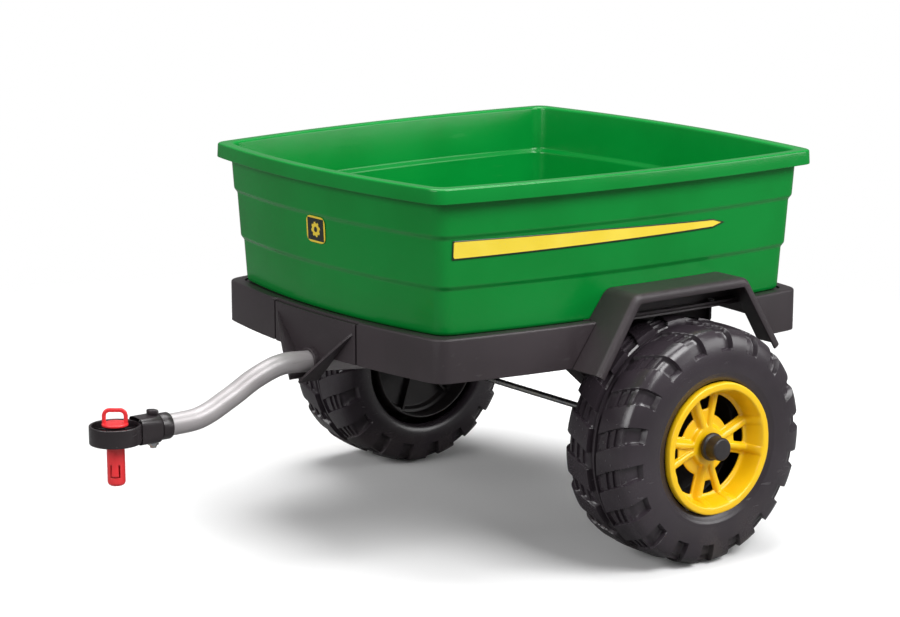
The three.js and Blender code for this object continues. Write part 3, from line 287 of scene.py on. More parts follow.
def mixed(tree, mask, below, above):
    """Colour `below` where the mask is 0 and `above` where it is 1."""
    node = tree.nodes.new("ShaderNodeMix")
    node.data_type = "RGBA"
    for key, value in ((0, mask), (6, below), (7, above)):
        if isinstance(value, Wire):
            tree.links.new(value.socket, node.inputs[key])
        else:
            node.inputs[key].default_value = value if key == 0 else (*value[:3], 1)
    return Wire(tree, node.outputs[2])


def noise(tree, place, scale, detail):
    """Noise at so many cells to the metre."""
    inputs = {"Vector": place, "Scale": float(scale), "Detail": float(detail)}
    return paint_node(tree, "ShaderNodeTexNoise", inputs=inputs)


def stretched(tree, place, scale, rotation=(0, 0, 0)):
    """The coordinates turned and scaled by axis, so that a noise read from them runs in streaks."""
    inputs = {"Vector": place, "Rotation": rotation, "Scale": scale}
    return paint_node(tree, "ShaderNodeMapping", inputs=inputs)


def blank(name):
    """A new Principled material: itself, its tree, its shader and its Object coordinates."""
    material = bpy.data.materials.new(name)
    material.use_nodes = True
    tree = material.node_tree
    return material, tree, tree.nodes["Principled BSDF"], paint_node(tree, "ShaderNodeTexCoord", output=3)


def link_surface(tree, shader, colour, roughness, relief, strength, depth):
    """Links a colour, a roughness and, through a Bump node of a depth in metres, a relief to the shader."""
    inputs = {"Strength": strength, "Distance": depth, "Height": relief}
    bump = paint_node(tree, "ShaderNodeBump", inputs=inputs)
    for key, wire in (("Base Color", colour), ("Roughness", roughness), ("Normal", bump)):
        tree.links.new(wire.socket, shader.inputs[key])


print("socket sums ready")

# %% [markdown]
# All the plastics share one recipe. A slow noise shifts the colour between two close tones. A fine noise is
# the moulded grain, and it feeds a Bump node and nudges the roughness. A stretched noise, cut off high, gives
# short scuffs that are paler and duller. Dust gathers low down, so a height ramp and a noise mix in a greyer
# tone. Only the amounts differ between the finishes.


# %% The moulded plastic recipe
DUST = (0.30, 0.26, 0.21)


def moulded(name, colour, second, rough, grain, grain_depth, peel=0.0, scuffs=0.3, scuff_tone=0.12, dust=0.15,
            dust_top=0.12, coat=0.0, specular=0.5):
    """Principled plastic: two-tone cloud, grain bump, scuffs and dust, all read from Object coordinates."""
    material, tree, shader, place = blank(name)
    cloud = noise(tree, place, 9, 3)
    fine = noise(tree, place, grain, 2)
    wave = noise(tree, place, 60, 1)
    streak = noise(tree, stretched(tree, place, (260.0, 22.0, 140.0), (0.3, 0.5, 0.8)), 1, 4)
    patch = noise(tree, place, 14, 2)
    scuff = streak.ramp(0.62, 0.72) * patch.ramp(0.5, 0.66) * scuffs
    height = paint_node(tree, "ShaderNodeSeparateXYZ", inputs={"Vector": place}, output=2)
    low = (1 - height.ramp(0.0, dust_top)) * patch.ramp(0.35, 0.7) * dust
    base = mixed(tree, cloud.ramp(0.35, 0.65), colour, second)
    pale = tuple(min(1.0, c + scuff_tone) for c in colour)
    scuffed = mixed(tree, scuff, base, pale)
    dusty = mixed(tree, low, scuffed, DUST)
    dull = rough + (fine - 0.5) * 0.10 + (cloud - 0.5) * 0.08 + scuff * 0.35 + low * 0.6
    link_surface(tree, shader, dusty, dull, fine * grain_depth + wave * peel, 0.35, 0.0006)
    shader.inputs["Coat Weight"].default_value = coat
    shader.inputs["Coat Roughness"].default_value = 0.12
    shader.inputs["Specular IOR Level"].default_value = specular
    return material


GREEN = moulded("tub green", (0.0008, 0.212, 0.028), (0.0011, 0.235, 0.033), 0.20, grain=1400,
                grain_depth=0.2, peel=0.5, scuffs=0.08, scuff_tone=0.08, dust=0.02, dust_top=0.32,
                specular=0.36)
CHARCOAL = moulded("frame charcoal", (0.029, 0.022, 0.0255), (0.037, 0.028, 0.0325), 0.38, grain=1700,
                   grain_depth=1.6, peel=0.25, scuffs=0.35, scuff_tone=0.06, dust=0.10, dust_top=0.3)
HITCH = moulded("hitch charcoal", (0.020, 0.016, 0.018), (0.027, 0.021, 0.024), 0.24, grain=1500,
                grain_depth=0.8, peel=0.3, scuffs=0.5, scuff_tone=0.09, dust=0.05, dust_top=0.2)
TREAD = moulded("tyre black", (0.027, 0.021, 0.026), (0.036, 0.028, 0.035), 0.25, grain=1200,
                grain_depth=0.4, peel=0.6, scuffs=0.45, scuff_tone=0.07, dust=0.15, dust_top=0.08,
                specular=0.6)
YELLOW = moulded("wheel yellow", (0.93, 0.55, 0.004), (0.96, 0.60, 0.008), 0.30, grain=1300, grain_depth=0.3,
                 peel=0.7, scuffs=0.15, scuff_tone=0.05, dust=0.05, dust_top=0.1, coat=0.15)
RED = moulded("pin red", (0.76, 0.026, 0.032), (0.82, 0.038, 0.044), 0.28, grain=1300, grain_depth=0.3,
              peel=0.6, scuffs=0.5, scuff_tone=0.15, dust=0.0, coat=0.15)
NYLON = moulded("bush nylon", (0.66, 0.64, 0.58), (0.70, 0.68, 0.62), 0.45, grain=1500, grain_depth=0.6,
                scuffs=0.2, scuff_tone=-0.1, dust=0.0)
print("plastics:", [m.name for m in bpy.data.materials])

# %% [markdown]
# The drawbar is steel tube with a smooth grey powder coat, whose fine pimples come from the baked powder.
# The fasteners and the axle are zinc plated: pale, a little blue or gold in patches, and faintly brushed.


# %% Metals
def coated_steel():
    """Grey coat with fine pimples and a few darker rubs."""
    material, tree, shader, place = blank("drawbar paint")
    pimple = noise(tree, place, 1100, 1)
    cloud = noise(tree, place, 25, 3)
    worn = noise(tree, stretched(tree, place, (300.0, 18.0, 160.0)), 1, 3).ramp(0.64, 0.74) * 0.4
    base = mixed(tree, cloud.ramp(0.35, 0.65), (0.38, 0.355, 0.362), (0.43, 0.405, 0.412))
    rubbed = mixed(tree, worn, base, (0.24, 0.23, 0.23))
    link_surface(tree, shader, rubbed, 0.34 + (pimple - 0.5) * 0.12 + worn * 0.2, pimple, 0.3, 0.0004)
    shader.inputs["Metallic"].default_value = 0.15
    return material


def zinc_plate():
    """Bright zinc with a mottled passivation tint and fine brush lines."""
    material, tree, shader, place = blank("zinc plate")
    mottle = noise(tree, place, 240, 3)
    brush = noise(tree, stretched(tree, place, (60.0, 1900.0, 1900.0)), 1, 2)
    base = mixed(tree, mottle.ramp(0.4, 0.62), (0.46, 0.47, 0.50), (0.56, 0.54, 0.47))
    link_surface(tree, shader, base, 0.26 + (brush - 0.5) * 0.25 + (mottle - 0.5) * 0.1, brush, 0.2, 0.0002)
    shader.inputs["Metallic"].default_value = 0.95
    return material


PAINT = coated_steel()
ZINC = zinc_plate()
print("metals:", PAINT.name, ZINC.name)

# %% [markdown]
# The tub's rim is a trapezoid, wider at the rear, whose four sides bulge and whose corners are round. Every
# level of the tub and of the tray below it is this same outline moved inwards. So the outline is one function
# of the inset, and it can be worked out for all levels at once.

# %% The plan outline
RIM_LENGTH = 545.0
HALF_FRONT = 230.0
HALF_REAR = 261.0
END_BULGE = 23.0
SIDE_BULGE = 21.0
CORNER_REACH = 14.0
BRACKET_HALF = 83.0
GROOVE = 3.0


def cross(a, b):
    """Plane cross product of two arrays of vectors."""
    return a[..., 0] * b[..., 1] - a[..., 1] * b[..., 0]


def plan(insets, marks=()):
    """Each side is corner + t along + outward 4 b t (1 - t), each corner a quadratic on the end tangents."""
    inset = np.atleast_1d(np.asarray(insets, float))[:, None]
    front = HALF_FRONT - inset
    rear = HALF_REAR - inset
    x = np.concatenate([-front, front, rear, -rear], 1)
    y = np.concatenate([inset, inset, RIM_LENGTH - inset, RIM_LENGTH - inset], 1)
    corner = np.stack([x, y], -1)
    along = np.roll(corner, -1, 1) - corner
    length = np.linalg.norm(along, axis=-1)
    outward = np.stack([along[..., 1], -along[..., 0]], -1) / length[..., None]
    cut = CORNER_REACH / length
    t = np.sort(np.concatenate([np.linspace(0, 1, 97), marks]))
    t = cut[..., None] + (1 - 2 * cut[..., None]) * t
    bulge = np.array([END_BULGE, SIDE_BULGE, END_BULGE, SIDE_BULGE])[None, :, None]
    side = (corner[:, :, None] + along[:, :, None] * t[..., None]
            + outward[:, :, None] * (4 * bulge * t * (1 - t))[..., None])
    slope = along[:, :, None] + outward[:, :, None] * (4 * bulge * (1 - 2 * t))[..., None]
    p = side[:, :, -1]
    q = np.roll(side[:, :, 0], -1, 1)
    leave = slope[:, :, -1]
    meet = np.roll(slope[:, :, 0], -1, 1)
    control = p + leave * (cross(q - p, meet) / cross(leave, meet))[..., None]
    u = np.linspace(0, 1, 15)[1:-1, None]
    arc = (1 - u) ** 2 * p[:, :, None] + 2 * u * (1 - u) * control[:, :, None] + u**2 * q[:, :, None]
    return np.concatenate([side, arc], 2).reshape(len(inset), -1, 2)


def rings(levels, marks=(), shift=None):
    """Rows of (inset, height, share): the outline at the inset, drawn in to the middle by the share."""
    levels = np.asarray(levels, float)
    flat = plan(levels[:, 0], marks)
    if shift is not None:
        flat = shift(flat, levels)
    middle = np.array([0.0, RIM_LENGTH / 2])
    flat = middle + (flat - middle) * levels[:, 2, None, None]
    height = np.broadcast_to(levels[:, 1, None, None], (*flat.shape[:2], 1))
    return np.concatenate([flat, height], -1)


def half_width(y, inset):
    """Half width of the outline at y: the straight taper less the inset, plus the bulge 4 b t (1 - t)."""
    t = (y - inset) / (RIM_LENGTH - 2 * inset)
    return HALF_FRONT + (HALF_REAR - HALF_FRONT) * t - inset + 4 * SIDE_BULGE * t * (1 - t)


def front_face(x, inset):
    """y of the outline's front at x: the inset less the bulge 4 b t (1 - t)."""
    half = HALF_FRONT - inset
    t = (x + half) / (2 * half)
    return inset - 4 * END_BULGE * t * (1 - t)


print("rim outline points", plan([0.0]).shape, "half width", plan([0.0])[..., 0].max().round(1))

# %% [markdown]
# The tub is one thin moulding. Its wall leans in a little towards the floor and steps in twice, which makes
# the two light lines round it, and its rim turns out and down as a hollow lip. I draw that section once, from
# the middle of the floor outside, up over the rim and down to the middle of the floor inside, round its
# corners, and carry it round the outline. The floor rows shrink to the middle, so the moulding is closed.

# %% The tub
RIM_TOP = 462.95
TUB_FLOOR = 289.3
WALL = 3.0
LIP = 17.5
OVERHANG = 12.0
UPPER_STEP = 402.0
LOWER_STEP = 343.0
FOOT = 25.4
STEP_RISE = 5.0
WALL_HEIGHTS = [TUB_FLOOR, LOWER_STEP, LOWER_STEP + STEP_RISE, UPPER_STEP, UPPER_STEP + STEP_RISE,
                RIM_TOP - WALL]
WALL_INSETS = [FOOT, 22.8, 20.0, 17.4, 14.6, OVERHANG]


def tub_inset(z):
    """Inset of the tub's outside at a height."""
    return np.interp(z, WALL_HEIGHTS, WALL_INSETS)


outside = np.column_stack([WALL_INSETS, WALL_HEIGHTS])
lip = [[WALL, RIM_TOP - WALL], [WALL - 0.6, RIM_TOP - LIP], [0.0, RIM_TOP - LIP], [0.7, RIM_TOP],
       [OVERHANG + WALL, RIM_TOP]]
inside = outside[4:0:-1] + [WALL, 0.0]
floor_line = [[FOOT + WALL + 1, TUB_FLOOR + WALL], [FOOT + WALL + 16, TUB_FLOOR + WALL]]
tub_section = np.concatenate([[[FOOT + 14, TUB_FLOOR]], outside, lip, inside, floor_line])
step_radii = [1.6] * 4
curve = rounded(tub_section, [1, 7, *step_radii, 2.5, 1.2, 0.6, 1.0, 2.6, 3.5, *step_radii, 9, 1])
bottom = [[FOOT, TUB_FLOOR, share] for share in (0.0, 0.5, 0.95)]
inside_floor = [[FOOT + WALL, TUB_FLOOR + WALL, share] for share in (0.93, 0.5, 0.0)]
curve = np.column_stack([curve, np.ones(len(curve))])
levels = np.concatenate([bottom, curve, inside_floor])
tub = piece("green_tub", [grid(rings(levels), close_columns=True)], sharp=50)
fit(tub, "chassis", ["tub"], GREEN)

# %% [markdown]
# The tray under the tub carries everything. From outside it is a flat ledge with a soft edge and a skirt that
# hangs 50 mm. The skirt is cut away over each wheel, under the fender, and steps back by its own thickness
# behind the drawbar bracket, which leaves the two dark grooves beside the bracket. I use the same rings, then
# move points: the skirt's lower rows rise to the wheel arch, and front points near the middle move back.

# %% The tray
FRAME_TOP = 291.5
FRAME_BOTTOM = 240.0
FRAME_INSET = 10.5
SKIRT = 3.0
DECK_LOW = 286.0
GROOVE_DEPTH = 4.0
ARCH_GAP = 1.0
FENDER_TOP = 327.0
TOP_HALF = 87.0
FOOT_HALF = 143.0
front_width = 2 * (HALF_FRONT - FRAME_INSET)
bracket_share = (BRACKET_HALF + GROOVE) / (front_width - 2 * CORNER_REACH)
marks = 0.5 + np.array([-1, -0.993, 0.993, 1]) * bracket_share


def arch_height(y):
    """Height of the wheel arch line over the tray at y: a flat top with two straight slopes."""
    away = np.abs(y - AXLE_Y)
    slope = (FENDER_TOP - FRAME_BOTTOM) / (FOOT_HALF - TOP_HALF)
    return np.where(away < TOP_HALF, FENDER_TOP, FENDER_TOP - slope * (away - TOP_HALF))


def behind_bracket(flat, levels):
    """Front points within the bracket's width move back by its wall, on the skirt rows only."""
    near = (np.abs(flat[..., 0]) < BRACKET_HALF + GROOVE - 0.05) & (flat[..., 1] < 60)
    skirt = (levels[:, 0] < FRAME_INSET + SKIRT + 0.5)[:, None]
    moved = flat.copy()
    moved[..., 1] += np.where(near & skirt, GROOVE_DEPTH, 0.0)
    return moved


tray_section = rounded(np.array([
    [22.9, 289.2], [22.9, FRAME_TOP], [FRAME_INSET, FRAME_TOP], [FRAME_INSET, FRAME_BOTTOM],
    [FRAME_INSET + SKIRT, FRAME_BOTTOM], [FRAME_INSET + SKIRT, DECK_LOW], [60.0, DECK_LOW]]),
    [0.5, 0.8, 3.2, 1.0, 1.0, 3.0, 1.0])
tray_rows = np.concatenate([
    [[FOOT + 40, 289.0, 0.0], [FOOT + 40, 289.0, 0.6]],
    np.column_stack([tray_section, np.ones(len(tray_section))]),
    [[60.0, DECK_LOW, 0.6], [60.0, DECK_LOW, 0.0]]])
tray_points = rings(tray_rows, marks, behind_bracket)
beside = np.abs(tray_points[..., 0]) > 200
arch = np.clip(arch_height(tray_points[..., 1]) + ARCH_GAP, FRAME_BOTTOM, FRAME_TOP - 3.4)
tray_points[..., 2] = np.where(beside, np.maximum(tray_points[..., 2], arch), tray_points[..., 2])
tray = piece("charcoal_tray", [grid(tray_points, close_columns=True)], sharp=40)
fit(tray, "chassis", ["frame_tray"], CHARCOAL)

# %% [markdown]
# Ribs stiffen the underside of the tray. They are plain moulded webs, so bars with a small bevel are enough.

# %% Ribs under the tray
RIB = 2.5
RIB_LOW = 279.0
RIB_TOP = DECK_LOW + 0.5
RIB_END = 20
RIB_REACH = 178
ribs = [block(x - RIB / 2, x + RIB / 2, RIB_END, RIM_LENGTH - RIB_END, RIB_LOW, RIB_TOP)
        for x in (-120, -60, 60, 120)]
ribs += [block(-RIB_REACH, RIB_REACH, y - RIB / 2, y + RIB / 2, RIB_LOW, RIB_TOP) for y in (190, 462)]
fit(piece("tray_ribs", ribs, bevel=0.5), "chassis", [], CHARCOAL)

# %% [markdown]
# Each fender is a bent hood: a leg, a flat roof over the wheel and a second leg. Its outer edge is round and
# turns down in a narrow lip, and its inner edge follows the barrelled side of the tub and closes down to the
# ledge. One section, drawn across the hood, is carried along the bent arch line. The section's outer part
# stays at fixed distances from the side, and its inner part reaches in to wherever the tub's wall is.

# %% The fenders
FENDER_OUT = 295.0
FENDER_LIP = 11.0
FENDER_WALL = 3.0
FENDER_ROUND = 6.5
ACROSS = 12


def arch_path(steps=8):
    """The arch line in (y, z), foot to foot, with its two bends rounded."""
    corners = [[AXLE_Y - FOOT_HALF, FRAME_BOTTOM], [AXLE_Y - TOP_HALF, FENDER_TOP],
               [AXLE_Y + TOP_HALF, FENDER_TOP], [AXLE_Y + FOOT_HALF, FRAME_BOTTOM]]
    bends = rounded(corners, [1, 9, 9, 1], steps=steps)[steps - 1:-steps + 1]
    counts = [24] + [2] * (steps - 1) + [40] + [2] * (steps - 1) + [24]
    pieces = [np.linspace(bends[i], bends[i + 1], n, endpoint=False) for i, n in enumerate(counts)]
    return np.concatenate(pieces + [bends[-1:]])


def fender(side):
    """Rows follow the arch, columns the section: x from the tub's side out, and depth below the arch line."""
    line = arch_path()
    normal = normals(line)
    y, z = line[:, :1], line[:, 1:]
    inner = half_width(y, tub_inset(z)) + 0.8
    inner = np.maximum(inner, np.where(z < FRAME_TOP + 1, half_width(y, FRAME_INSET) + 0.6, 0))
    flat = inner + (FENDER_OUT - FENDER_ROUND - inner) * np.linspace(0, 1, ACROSS)
    a = np.linspace(0, np.pi / 2, 8)[1:]
    under = FENDER_OUT - FENDER_WALL
    tail_x = np.concatenate([FENDER_OUT - FENDER_ROUND + FENDER_ROUND * np.sin(a),
                             [FENDER_OUT, FENDER_OUT, FENDER_OUT - 0.2, FENDER_OUT - 1.0],
                             [under + 0.6, under, under - 0.4, under - 3]])
    tail_depth = np.concatenate([FENDER_ROUND * (1 - np.cos(a)), [8.0, 10.0, FENDER_LIP - 0.4, FENDER_LIP],
                                 [FENDER_LIP, FENDER_LIP - 0.8, 6.5, FENDER_WALL]])
    back = inner + (under - 4 - inner) * np.linspace(1, 0, ACROSS)
    x = np.concatenate([flat, np.broadcast_to(tail_x, (len(line), len(tail_x))), back], 1)
    depth = np.concatenate([np.zeros(ACROSS), tail_depth, np.full(ACROSS, FENDER_WALL)])
    section = np.stack([side * x, y - normal[:, :1] * depth, z - normal[:, 1:] * depth], -1)
    return grid(section, close_columns=True, caps=True)


def closing_wall(side):
    """The hood's inner wall: a thin sheet along the tub from the ledge to the roof, cut to the arch line."""
    y = np.linspace(AXLE_Y - 118, AXLE_Y + 118, 60)
    top = np.minimum(arch_height(y) - 1.5, FENDER_TOP - 1.5)
    share = np.array([0.0, 0.5, 1.0, 1.0, 0.5, 0.0])
    out = np.array([0.9, 0.9, 0.9, 3.6, 3.6, 3.6])
    z = (FRAME_TOP + 0.3) + share * (np.maximum(top, FRAME_TOP + 1)[:, None] - FRAME_TOP - 0.3)
    y = y[:, None] + 0 * z
    x = side * (half_width(y, tub_inset(z)) + out)
    return grid(np.stack([x, y, z], -1), close_columns=True, caps=True)


def foot_flange(side):
    """The flat foot that is screwed to the ledge, between the closing wall and the skirt's edge."""
    y = np.linspace(AXLE_Y - 108, AXLE_Y + 108, 40)[:, None]
    inner = half_width(y, tub_inset(FRAME_TOP + 0.5)) + 1.2
    outer = half_width(y, FRAME_INSET) - 0.5
    x = np.concatenate([inner, outer, outer, inner], 1)
    z = FRAME_TOP + np.broadcast_to([0.3, 0.3, 3.0, 3.0], x.shape)
    return grid(np.stack([side * x, np.broadcast_to(y, x.shape), z], -1), close_columns=True, caps=True)


for word, side in SIDES:
    parts = [fender(side), closing_wall(side), foot_flange(side)]
    fit(piece(f"fender_hood_{word}", parts, sharp=35), "chassis", [f"fender_{word}"], CHARCOAL)

# %% [markdown]
# The axle hangs from two tapered plates. Seen from the side each is a triangle with a round boss at its
# point, stiffened by a web round its edge. Flat outlines pushed sideways, with bevelled edges, say it well.

# %% The axle hangers
HANGER_X = 205.0
HANGER_PLATE = 4.0
HANGER_TOP = 285.7
HANGER_FRONT = 125.0
HANGER_REAR = 104.0
HANGER_FLANGE = 20
HANGER_RIM = 10
BOSS_R = 16
BOSS_TANGENT = 0.8 * BOSS_R
boss_profile = [[4.3, 158], [BOSS_R, 158], [BOSS_R, 226], [4.3, 226]]
hanger_outline = np.array([
    [AXLE_Y - BOSS_TANGENT, AXLE_Z], [AXLE_Y + BOSS_TANGENT, AXLE_Z], [AXLE_Y + HANGER_REAR, HANGER_TOP - 24],
    [AXLE_Y + HANGER_REAR, HANGER_TOP], [AXLE_Y - HANGER_FRONT, HANGER_TOP], [AXLE_Y - HANGER_FRONT, 243.0]])


def web(outline, wall, x0, x1):
    """A band of constant wall inside an outline, from x0 to x1: outer ring, then ring drawn in by a wall."""
    edge = np.roll(outline, -1, 0) - outline
    edge /= np.linalg.norm(edge, axis=1)[:, None]
    inward = np.stack([-edge[:, 1], edge[:, 0]], -1)
    before = np.roll(inward, 1, 0)
    bisect = inward + before
    ring = outline + wall * 2 * bisect / (np.linalg.norm(bisect, axis=1)[:, None] ** 2)
    loops = np.stack([outline, outline, ring, ring])
    x = np.array([x0, x1, x1, x0])[:, None] * np.ones(len(outline))
    return grid(np.concatenate([x[..., None], loops], -1), close_rows=True, close_columns=True)


for word, side in SIDES:
    x = side * HANGER_X
    plate = slab(hanger_outline, "x", *sorted((x, x + side * HANGER_PLATE)))
    rim = web(hanger_outline, HANGER_PLATE, *sorted((x - side * HANGER_FLANGE, x + side * HANGER_RIM)))
    boss = turned(boss_profile, (0, AXLE_Y, AXLE_Z), "x", side, 48)
    pad = block(*sorted((x, x - side * HANGER_FLANGE)), AXLE_Y - HANGER_FRONT, AXLE_Y + HANGER_REAR,
                HANGER_TOP - HANGER_PLATE, HANGER_TOP)
    hanger = piece(f"hanger_{word}", [plate, rim, boss, pad], bevel=0.7)
    fit(hanger, "chassis", [f"axle_hanger_{word}"], CHARCOAL)

# %% [markdown]
# The drawbar is one bent steel tube. Its centre line is a smooth curve through nine points, and a circle is
# carried along it. At each station the circle needs two directions square to the curve. The tube bends only
# in the upright middle plane, so one of them is always sideways and the other is the curve's normal.


# %% The drawbar tube
ROUTE = np.array([[-243, 183.5], [-206, 183.5], [-168, 186], [-127, 203.5], [-93, 221], [-58, 232],
                  [-20, 231], [60, 224], [150, 217.5]], float)
TUBE = 12.7
BORE = 11.2
TUBE_GAP = 0.3


def through(points, steps=16):
    """Centripetal curve through the points: a span blends its four neighbours by their root distances."""
    points = np.asarray(points, float)
    ends = np.concatenate([[2 * points[0] - points[1]], points, [2 * points[-1] - points[-2]]])
    gaps = np.sqrt(np.linalg.norm(np.diff(ends, axis=0), axis=1))
    knot = np.concatenate([[0], np.cumsum(gaps)])
    i = np.arange(1, len(ends) - 2)[:, None]
    t = knot[i] + (knot[i + 1] - knot[i]) * np.linspace(0, 1, steps, endpoint=False)[None, :]

    def lerp(a, b, ta, tb):
        return ((tb - t)[..., None] * a + (t - ta)[..., None] * b) / (tb - ta)[..., None]

    p = [ends[i + k] for k in (-1, 0, 1, 2)]
    k = [knot[i + m] for m in (-1, 0, 1, 2)]
    a1, a2, a3 = lerp(p[0], p[1], k[0], k[1]), lerp(p[1], p[2], k[1], k[2]), lerp(p[2], p[3], k[2], k[3])
    b1, b2 = lerp(a1, a2, k[0], k[2]), lerp(a2, a3, k[1], k[3])
    return np.concatenate([lerp(b1, b2, k[1], k[2]).reshape(-1, points.shape[1]), points[-1:]])


centre_line = through(ROUTE)
upward = normals(centre_line)


def sleeve_along(line, up, radius, columns=48):
    """Circle of a radius round each station: sideways r cos a, and r sin a along the station's normal."""
    a = np.linspace(0, 2 * np.pi, columns, endpoint=False)
    radius = np.broadcast_to(radius, len(line))[:, None]
    x = radius * np.cos(a)
    yz = line[:, None] + up[:, None] * (radius * np.sin(a))[..., None]
    return np.concatenate([x[..., None], yz], -1)


def height_at(y):
    """Height of the tube's centre line at a distance y."""
    return float(np.interp(y, centre_line[:, 0], centre_line[:, 1]))


outer = sleeve_along(centre_line, upward, TUBE)
bore = sleeve_along(centre_line, upward, BORE)[::-1]
fit(piece("drawbar", [grid(np.concatenate([outer, bore]), close_rows=True, close_columns=True)], sharp=40),
    "chassis", ["tongue_tube"], PAINT)

# %% [markdown]
# The bracket that takes the drawbar's pull fills the middle of the tray's front. Its face follows the same
# bulge as the skirt. Below it a V runs down to the tube: two thin fins that grow deeper towards the point,
# the panel carried down between them, and a short collar round the tube.

# %% The hitch bracket
BRACKET_WALL = 3.6
NOSE_Z = 210.0
FIN_TOP = 276.0
FIN_HALF = 78.0
NOSE_HALF = 9.0
FIN_DEPTH = 26.0
FIN_THICK = 3.0
COLLAR_WALL = 3.3
NECK_HALF = NOSE_HALF + (FIN_HALF - NOSE_HALF) * (FRAME_BOTTOM - NOSE_Z) / (FIN_TOP - NOSE_Z)


def curved_panel(top, floor, half_top, half_low):
    """A sheet from z = floor to top whose width runs from half_low to half_top, bent to the front face."""
    v = np.linspace(0, 1, 15)[:, None]
    u = np.linspace(-1, 1, 41)[None, :]
    x = u * (half_low + (half_top - half_low) * v)
    z = floor + (top - floor) * v + 0 * u
    face = np.stack([x, front_face(x, FRAME_INSET), z], -1)
    back = face + [0.0, BRACKET_WALL, 0.0]
    return grid(np.concatenate([face, back[:, ::-1]], 1), close_columns=True, caps=True)


def fin(side):
    """A web down one arm of the V: depth grows from nothing at the top to its full depth at the point."""
    s = np.linspace(0, 1, 25)
    x = side * (FIN_HALF + (NOSE_HALF - FIN_HALF) * s)
    z = FIN_TOP + (NOSE_Z - FIN_TOP) * s
    depth = FIN_DEPTH * s**0.85 + 0.4
    arm = np.array([side * (NOSE_HALF - FIN_HALF), NOSE_Z - FIN_TOP])
    arm /= np.linalg.norm(arm)
    off = np.array([-arm[1], arm[0]]) * FIN_THICK / 2
    face = front_face(x, FRAME_INSET)
    corner_y = np.stack([face + 1.5, face + 1.5, face - depth, face - depth], 1)
    sign = np.array([1, -1, -1, 1])
    shape = np.stack([x[:, None] + sign * off[0], corner_y, z[:, None] + sign * off[1]], -1)
    return grid(shape, close_columns=True, caps=True)


nose_y = front_face(0.0, FRAME_INSET)
collar = [TUBE + TUBE_GAP, TUBE + TUBE_GAP + COLLAR_WALL]
collar_profile = rounded([[collar[0], nose_y - 7], [collar[1], nose_y - 7], [collar[1], nose_y + 3],
                          [collar[0], nose_y + 3]], 1.2, closed=True)
bracket_parts = [curved_panel(288.2, FRAME_BOTTOM, BRACKET_HALF, BRACKET_HALF),
                 curved_panel(FRAME_BOTTOM, NOSE_Z, NECK_HALF, NOSE_HALF), fin(1), fin(-1),
                 turned(collar_profile, (0, 0, height_at(nose_y - 4)), "y", 1, 48)]
fit(piece("drawbar_bracket", bracket_parts, bevel=0.8), "chassis", ["hitch_bracket"], CHARCOAL)

# %% [markdown]
# Screws, the bolt, the nut and the axle are turned shapes. A pan-head screw is a dome with a cross recess.
# The recess is a small height map on the dome's grid: where a point lies in either bar of the cross, and
# inside the recess's radius, it sinks.


# %% Screws
HEAD_R = 4.5
HEAD = 2.4
SHANK_R = 1.9
SHANK = 6.5
RECESS = 1.3


def pan_head(x, y, z, way, turn):
    """Dome H (1 - t^2.2) over r = R sqrt(t), less a cross where min(|u|, |v|) < 0.5 and r < 2.2; a shank."""
    t = np.linspace(0, 1, 30)[:, None]
    a = np.linspace(0, 2 * np.pi, 72, endpoint=False)[None, :]
    r = HEAD_R * np.sqrt(t)
    u, v = r * np.cos(a - turn), r * np.sin(a - turn)
    bars = np.clip((0.75 - np.minimum(np.abs(u), np.abs(v))) / 0.25, 0, 1)
    bars *= np.clip((2.7 - r) / 0.5, 0, 1)

    def level(radius, rise):
        ring = x + radius * np.cos(a), y + radius * np.sin(a), z + way * rise
        return np.stack(np.broadcast_arrays(*ring), -1)

    dome = level(r, HEAD * (1 - t**2.2) - RECESS * bars)
    rest = [level(HEAD_R, 0), level(SHANK_R, 0), level(SHANK_R, -SHANK), level(0, -SHANK)]
    return grid(np.concatenate([dome, *rest]), close_columns=True)


def screw_group(name, nodes, way):
    """A head on each packed screw, at the middle of its box and at its head end."""
    parts = []
    for k, node in enumerate(nodes):
        low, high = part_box(node)
        middle = np.array(low + high) * 500 - SHIFT
        seat = (high.z if way > 0 else low.z) * 1000 - SHIFT[2] - way * HEAD
        parts.append(pan_head(middle[0], middle[1], seat, way, 0.3 + 0.9 * k))
    return fit(piece(name, parts, sharp=30), "chassis", nodes, ZINC)


screw_group("tub_screws", [f"tub_screw_{i}" for i in (1, 2, 3, 4)], 1)
screw_group("clamp_screws", ["clamp_screw_1", "clamp_screw_2"], -1)
for word in ("left", "right"):
    screw_group(f"fender_screws_{word}", [f"fender_screw_{word}_{i}" for i in (1, 2)], 1)
    screw_group(f"hanger_screws_{word}", [f"hanger_screw_{word}_{i}" for i in (1, 2)], -1)

# %% [markdown]
# The coupler is a shallow open cup with a tube for the pin in its middle, ribs between the two, and a sleeve
# that grips the drawbar. The sleeve starts as a square with cut corners and ends round. A superellipse covers
# both: its power falls from about 5 to 2 along the sleeve.

# %% The coupler
COUPLER_Y = -279.5
CUP_R = 29.5
CUP_TOP = 194.5
CUP_LOW = 173.5
PIN_R = 8.0
SLEEVE_HALF = 15.5
SLEEVE_END = -211.0
BOLT_Y = -231.0
sleeve_z = height_at(BOLT_Y)

